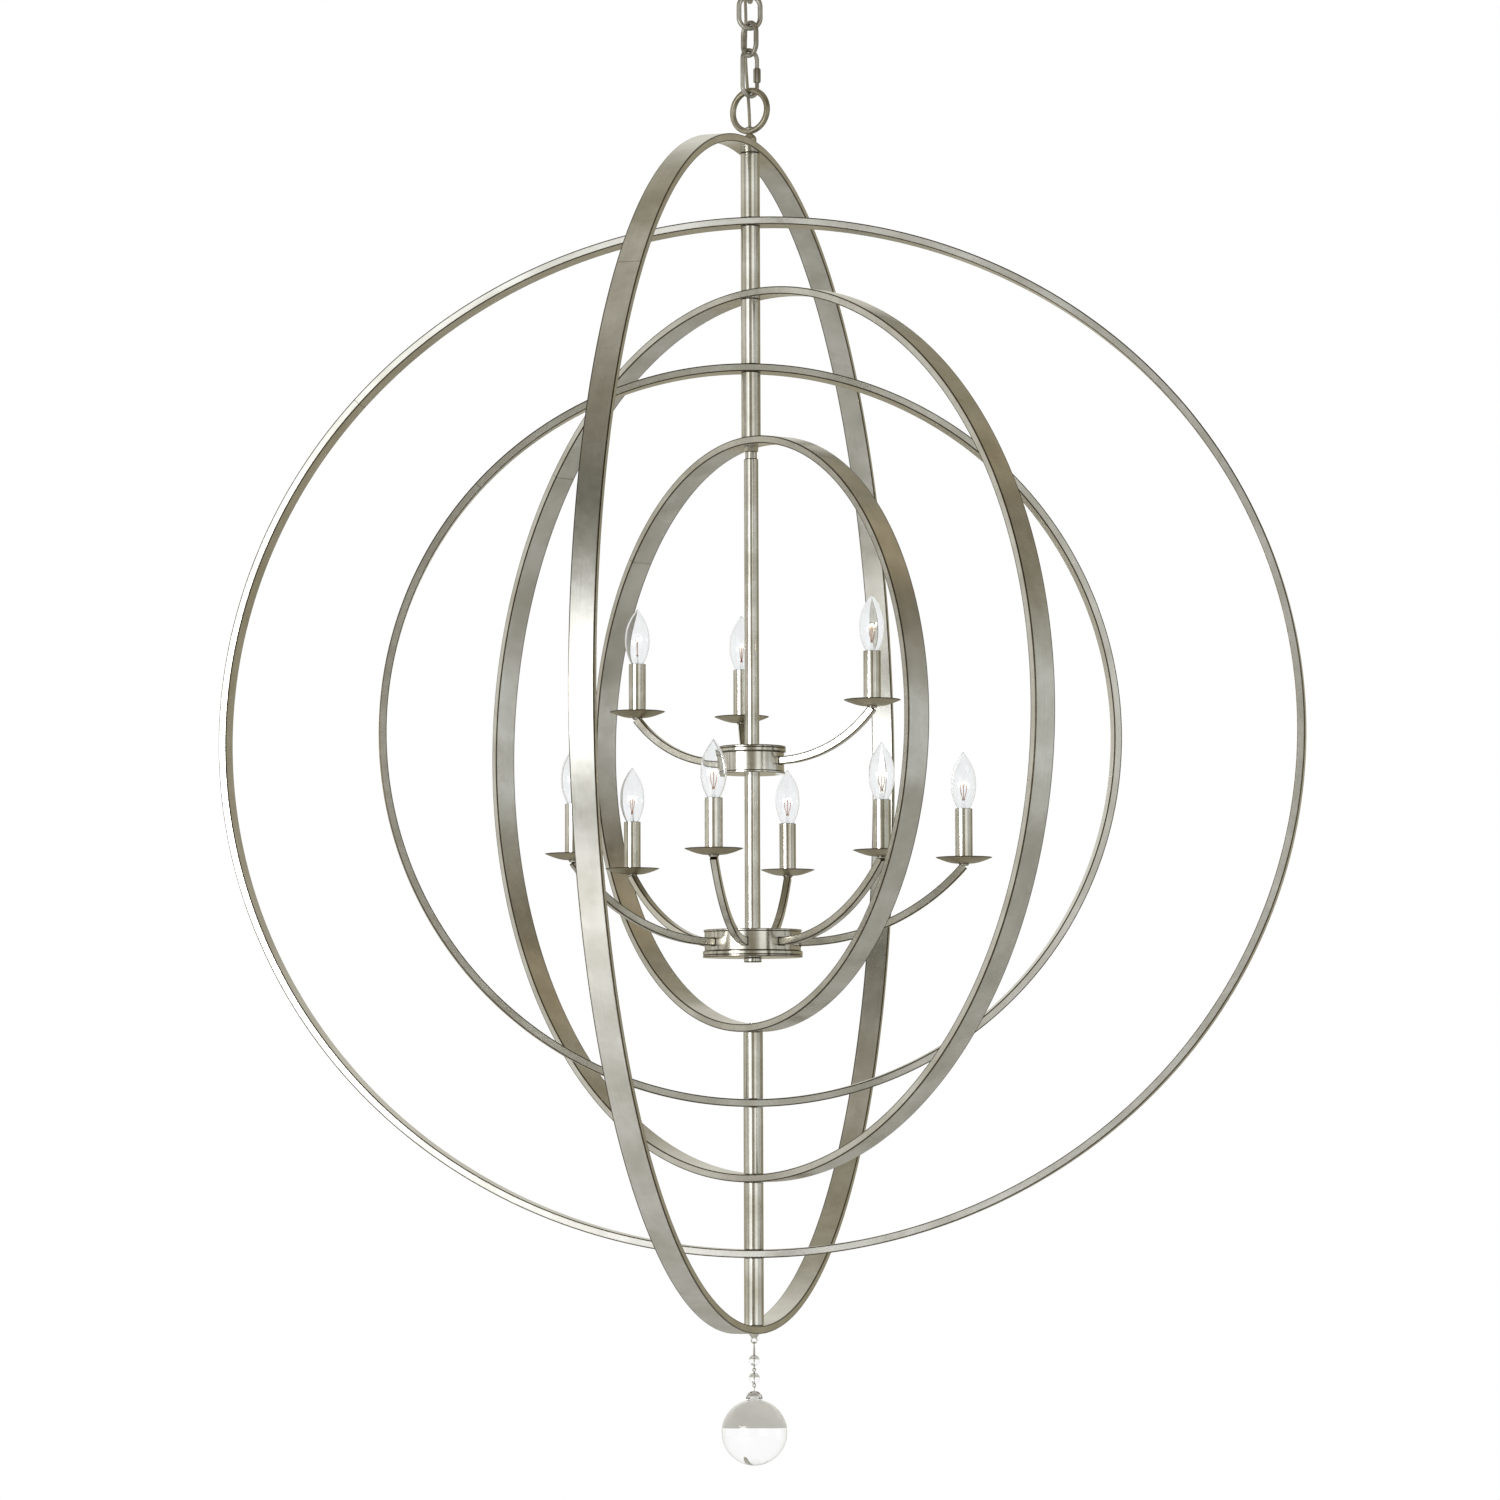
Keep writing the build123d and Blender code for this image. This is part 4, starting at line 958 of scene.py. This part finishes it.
def build_gate_nut(leg):
    """Six-sided sleeve nut with chamfered ends."""
    low, high = span("gate_nut")
    flat = math.radians(QUICK_ANGLE)
    centre = Vector((leg * math.cos(flat), leg * math.sin(flat), 0))
    turns = [math.pi / 3 * k for k in range(6)]
    corners = [(GATE_NUT_RADIUS * math.cos(t), GATE_NUT_RADIUS * math.sin(t)) for t in turns]
    section = soften(corners, 0.4, 1.0, closed=True)
    levels = [(low, 0.80), (low + 1.1, 0.98), (low + 1.6, 1.0)]
    levels += [(high - 1.6, 1.0), (high - 1.1, 0.98), (high, 0.80)]
    x, y = Vector((1, 0, 0)), Vector((0, 1, 0))
    piece = Piece()
    piece.sweep(section, [(centre + Vector((0, 0, z)), x, y, size) for z, size in levels])
    piece.finish("gate_sleeve_nut", "gate_nut_body", LEAF_CHAIN, "silver_leaf", ["gate_nut"])


def build_top_loop():
    """Cast loop growing out of a round knuckle."""
    piece = Piece()
    loop = upright_spots(ring_path(LOOP_RADIUS), LOOP_CENTRE, LOOP_ANGLE)
    piece.sweep(circle_section(LOOP_WIRE, 28), loop, closed=True)
    base = span("top_loop")[0]
    ball_centre, ball_radius = base + 7.14, 8.5
    outline = [(5.2, base, 0.0)]
    for k in range(18):
        turn = -0.98 + 2.2 * k / 17
        height = ball_centre + ball_radius * math.sin(turn)
        outline.append((ball_radius * math.cos(turn), height, 0.0))
    boss_top = LOOP_CENTRE - LOOP_RADIUS + 4.8
    # the boss's rim is marked for the painted edge shade
    outline += [(4.6, boss_top - 4.0, 0.2), (5.8, boss_top - 2.2, 0.0), (5.8, boss_top - 0.6, 0.6)]
    outline += [(5.2, boss_top, 0.8), (3.3, boss_top, 0.8)]
    outline += [(3.3, base + 4.0, 0.0), (5.2, base, 0.0)]
    piece.lathe(outline, 48)
    piece.finish("hanging_loop", "fixture", LEAF_LOOP, "silver_leaf", ["top_loop"], sharp=60.0)


# ---- ceiling fitting ----
def build_ceiling():
    """Canopy dome and the screw collar loop under it."""
    low, high = span("canopy")
    piece = Piece()
    radius, rim = CANOPY_RADIUS, high - CANOPY_RIM
    outer = [(radius, high), (radius, rim)]
    flat_radius = 0.30 * radius
    run, rise = radius - flat_radius, rim - low
    arc = (run**2 + rise**2) / (2 * rise)
    whole = math.atan(rise / run) * 2
    for k in range(1, 21):
        turn = whole * (1 - k / 20)
        outer.append((flat_radius + arc * math.sin(turn), low + arc * (1 - math.cos(turn))))
    outer.append((5.6, low))
    inner = [
        (max(r - CANOPY_WALL, 5.6), z + (CANOPY_WALL if z < high else 0.0))
        for r, z in reversed(outer)
    ]
    piece.lathe(close_outline(soften(outer + inner, 0.5, 1.5, closed=True)), 96)
    piece.finish("canopy_dome", "ceiling_fitting", LEAF_TURNED, "silver_leaf", ["canopy"])
    build_collar_loop(low)


def build_collar_loop(canopy_low):
    """Loop under the canopy, with the threaded collar that holds the canopy up."""
    piece = Piece()
    centre = COLLAR_LOOP_BOTTOM + COLLAR_LOOP_RADIUS + COLLAR_LOOP_WIRE / 2
    loop = upright_spots(ring_path(COLLAR_LOOP_RADIUS), centre, COLLAR_LOOP_ANGLE)
    piece.sweep(circle_section(COLLAR_LOOP_WIRE, 24), loop, closed=True)
    low = COLLAR_LOOP_BOTTOM + 32.0
    outline = [(3.3, low), (9.0, low), (12.0, low + 2.6), (12.0, canopy_low), (3.3, canopy_low)]
    piece.lathe(close_outline(soften(outline, 0.5, 1.4, closed=True)), 48)
    piece.finish("screw_collar_loop", "ceiling_fitting", LEAF_CHAIN, "silver_leaf", ["collar_loop"])


# ---- crystal drop ----
def ball_outline(centre, radius, bore, steps=40):
    """Round bead or ball, drilled if bore isn't 0."""
    start = math.asin(bore / radius) if bore else 0.0
    outline = []
    for k in range(steps + 1):
        turn = -math.pi / 2 + start + (math.pi - 2 * start) * k / steps
        reach = radius * math.cos(turn) if bore or 0 < k < steps else 0.0
        outline.append((reach, centre + radius * math.sin(turn), 0.0))
    return outline


def build_drop():
    """Glass beads, the clear ball and its knob."""
    for bead in ("upper_bead", "lower_bead"):
        height = sum(span(bead)) / 2
        piece = Piece()
        piece.lathe(close_outline(ball_outline(height, 7.0, 0.95)), 48)
        name = bead.replace("bead", "glass_bead")
        piece.finish(name, f"{bead}_body", CRYSTAL, "crystal", [bead])
    low, high = span("crystal_ball")
    piece = Piece()
    piece.lathe(ball_outline((low + high) / 2, (high - low) / 2 - 0.05, 0.0, 64), 96)
    piece.finish("clear_ball", "crystal_body", CRYSTAL, "crystal", ["crystal_ball"])
    build_knob()


def build_knob():
    """Clear cut knob on top of the ball, with the wire bail that the ball hangs by."""
    low, high = span("crystal_cap")
    bail_radius, bail_wire, knob_height, knob_radius = 3.4, 1.1, 11.0, 10.5
    bail_centre = high - bail_radius - bail_wire / 2
    top = bail_centre - bail_radius + 0.3
    piece = Piece()
    outline = [(0.0, top - knob_height + 0.6), (9.6, top - knob_height + 0.6)]
    outline += [(knob_radius, top - 9.2), (knob_radius - 0.2, top - 7.0), (8.9, top - 4.0)]
    outline += [(6.6, top - 1.5), (4.2, top), (0.0, top)]
    piece.lathe(soften(outline, 0.3, 0.8), 12)
    piece.finish("crystal_knob", "crystal_body", KNOB, "crystal", ["crystal_cap"], sharp=20.0)
    bail = Piece()
    spots = upright_spots(ring_path(bail_radius, 32), bail_centre, 90.0)
    bail.sweep(circle_section(bail_wire, 10), spots, closed=True)
    bail.finish("crystal_bail", "crystal_body", PLATED, "plated_steel")


def dress_cad_nodes():
    """Materials for the CAD nodes that stay as they are."""
    wanted = {
        LEAF_TURNED: ("lock_nut", "finial"),
        PLATED: ("upper_rod", "lower_rod", "crossbar", "nipple_and_nut"),
        LEAF_CHAIN: ("upper_bead_wire", "lower_bead_wire"),
        PHENOLIC: ("lamp_sockets",),
        BRASS: ("bulb_bases",),
    }
    for material, names in wanted.items():
        for name in names:
            mesh = frame["nodes"][name].data
            mesh.materials.clear()
            mesh.materials.append(material)


# ---- stage and light ----
def build_stage():
    """Plain pale floor, far enough below the lamp to stay out of its view."""
    material, tree, shader = new_material("pale_floor")
    object_space = node(tree, "ShaderNodeTexCoord").outputs["Object"]
    grain = mapped_noise(tree, object_space, 3.0, 4.0)
    colour = ramp(tree, grain, [(0.3, (0.86, 0.86, 0.85)), (0.7, (0.90, 0.90, 0.89))])
    tree.links.new(colour, shader.inputs["Base Color"])
    shader.inputs["Roughness"].default_value = 0.7
    mesh = bpy.data.meshes.new("floor")
    level = cad_box[0].z - FLOOR_DROP
    rim = [(x, z, level) for (x, z), _ in ring_path(FLOOR_REACH)]
    mesh.from_pydata(rim, [], [list(range(len(rim)))])
    mesh.materials.append(material)
    floor = bpy.data.objects.new("floor", mesh)
    bpy.context.scene.collection.objects.link(floor)


def area_light(name, place, target, size, power):
    """Rectangular light at place, turned to its target; sizes in metres and power in watts."""
    data = bpy.data.lights.new(name, "AREA")
    data.shape = "RECTANGLE"
    data.size, data.size_y = size
    data.energy = power
    light = bpy.data.objects.new(name, data)
    light.location = place
    aim = Vector(target) - Vector(place)
    light.rotation_euler = aim.to_track_quat("-Z", "Y").to_euler()
    bpy.context.scene.collection.objects.link(light)


# glow of the studio as polished metal sees it: turn from the front in degrees, height in degrees,
# tightness, colour and strength
GLOWS = (
    ("front left softbox", -37.0, 2.0, 30.0, (0.90, 0.95, 1.0), 1.25),
    ("front right softbox", 31.0, 2.0, 34.0, (0.95, 0.98, 1.0), 1.0),
    ("right wall", 76.0, -3.0, 24.0, (0.84, 0.92, 1.0), 0.50),
    ("left wall", -95.0, 0.0, 20.0, (0.96, 0.98, 1.0), 0.50),
    ("backdrop", 180.0, 20.0, 30.0, (0.94, 0.97, 1.0), 0.36),
    ("left behind", -150.0, 25.0, 16.0, (0.94, 0.97, 1.0), 0.40),
    ("glow of the lamps", 84.0, 56.0, 24.0, (1.0, 0.62, 0.22), 0.12),
)
GLOW_EDGE = 2.5  # above 1, a glow has a flat middle like a softbox


def studio_colour(tree):
    """What polished metal sees in each direction."""
    direction = node(tree, "ShaderNodeTexCoord").outputs["Generated"]
    parts = node(tree, "ShaderNodeSeparateXYZ")
    tree.links.new(direction, parts.inputs[0])
    front = maths(tree, "ADD", maths(tree, "MULTIPLY", parts.outputs[1], -0.5), 0.5)
    studio = ramp(tree, front, [(0.2, (0.36, 0.325, 0.225)), (0.8, (0.29, 0.265, 0.20))])
    for _, turn, height, tight, colour, strength in GLOWS:
        turn, height = math.radians(turn), math.radians(height)
        aim = node(tree, "ShaderNodeVectorMath", operation="DOT_PRODUCT")
        aim.inputs[1].default_value = (
            math.sin(turn) * math.cos(height), -math.cos(turn) * math.cos(height), math.sin(height)
        )
        tree.links.new(direction, aim.inputs[0])
        near = maths(tree, "SUBTRACT", aim.outputs["Value"], 1.0)
        lobe = maths(tree, "EXPONENT", maths(tree, "MULTIPLY", near, tight))
        flat_topped = node_clamp(tree, maths(tree, "MULTIPLY", lobe, GLOW_EDGE))
        amount = maths(tree, "MULTIPLY", flat_topped, strength)
        studio = mix(tree, amount, studio, colour, "ADD")
    # a dark gap between the softboxes and the ceiling
    gap = maths(tree, "DIVIDE", maths(tree, "SUBTRACT", parts.outputs[2], 0.62), 0.10)
    gap = maths(tree, "EXPONENT", maths(tree, "MULTIPLY", maths(tree, "MULTIPLY", gap, gap), -1.0))
    gap = maths(tree, "MULTIPLY", gap, node_clamp(tree, maths(tree, "MULTIPLY", front, 1.4)))
    return mix(tree, maths(tree, "MULTIPLY", gap, 0.72), studio, (0.07, 0.07, 0.06))


def build_world():
    """White surround for the camera; metal sees a dim warm studio with soft glows in it."""
    world = bpy.data.worlds.new("studio")
    bpy.context.scene.world = world
    world.use_nodes = True
    tree = world.node_tree
    tree.nodes.clear()
    output = node(tree, "ShaderNodeOutputWorld")
    seen = node(tree, "ShaderNodeBackground", in_Strength=1.0)
    tree.links.new(studio_colour(tree), seen.inputs["Color"])
    white = node(tree, "ShaderNodeBackground", in_Strength=1.0)
    white.inputs["Color"].default_value = (1.0, 1.0, 1.0, 1.0)
    path = node(tree, "ShaderNodeLightPath")
    clear_view = maths(
        tree, "MAXIMUM", path.outputs["Is Camera Ray"], path.outputs["Is Transmission Ray"]
    )
    even = node(tree, "ShaderNodeBackground", in_Strength=1.0)
    even.inputs["Color"].default_value = (0.50, 0.485, 0.44, 1.0)
    lit = node(tree, "ShaderNodeMixShader")
    tree.links.new(path.outputs["Is Diffuse Ray"], lit.inputs[0])
    tree.links.new(seen.outputs[0], lit.inputs[1])
    tree.links.new(even.outputs[0], lit.inputs[2])
    choose = node(tree, "ShaderNodeMixShader")
    tree.links.new(clear_view, choose.inputs[0])
    tree.links.new(lit.outputs[0], choose.inputs[1])
    tree.links.new(white.outputs[0], choose.inputs[2])
    tree.links.new(choose.outputs[0], output.inputs["Surface"])


def build_lighting():
    """The world and three soft lights."""
    build_world()
    middle = (0, 0, CENTRE * MM)
    area_light("key", (-2.6, -4.6, CENTRE * MM + 0.4), middle, (1.6, 2.6), 10)
    floor = cad_box[0].z - FLOOR_DROP
    area_light("floor wash", (-2.4, -2.6, floor + 1.9), (-2.0, -2.0, floor), (1.4, 1.4), 60)
    area_light("top", (0.0, -0.6, CENTRE * MM + 3.2), middle, (2.4, 2.4), 4)
    bpy.context.scene.view_settings.view_transform = "Standard"


place_camera()
build_cord()
for hoop in HOOPS:
    build_hoop(*hoop)
build_tubes()
upper_place = Matrix.Translation((0, 0, UPPER_HUB_TOP - HUB_COVER))
lower_place = Matrix.Translation((0, 0, LOWER_HUB_BOTTOM + HUB_COVER))
lower_place = lower_place @ Matrix.Rotation(math.pi, 4, "X")
build_hub("upper_hub", UPPER_HUB_RADIUS, upper_place)
build_hub("lower_hub", LOWER_HUB_RADIUS, lower_place)
build_arms()
build_lights()
build_links()
build_quick_link()
build_top_loop()
build_ceiling()
build_drop()
dress_cad_nodes()
build_stage()
build_lighting()
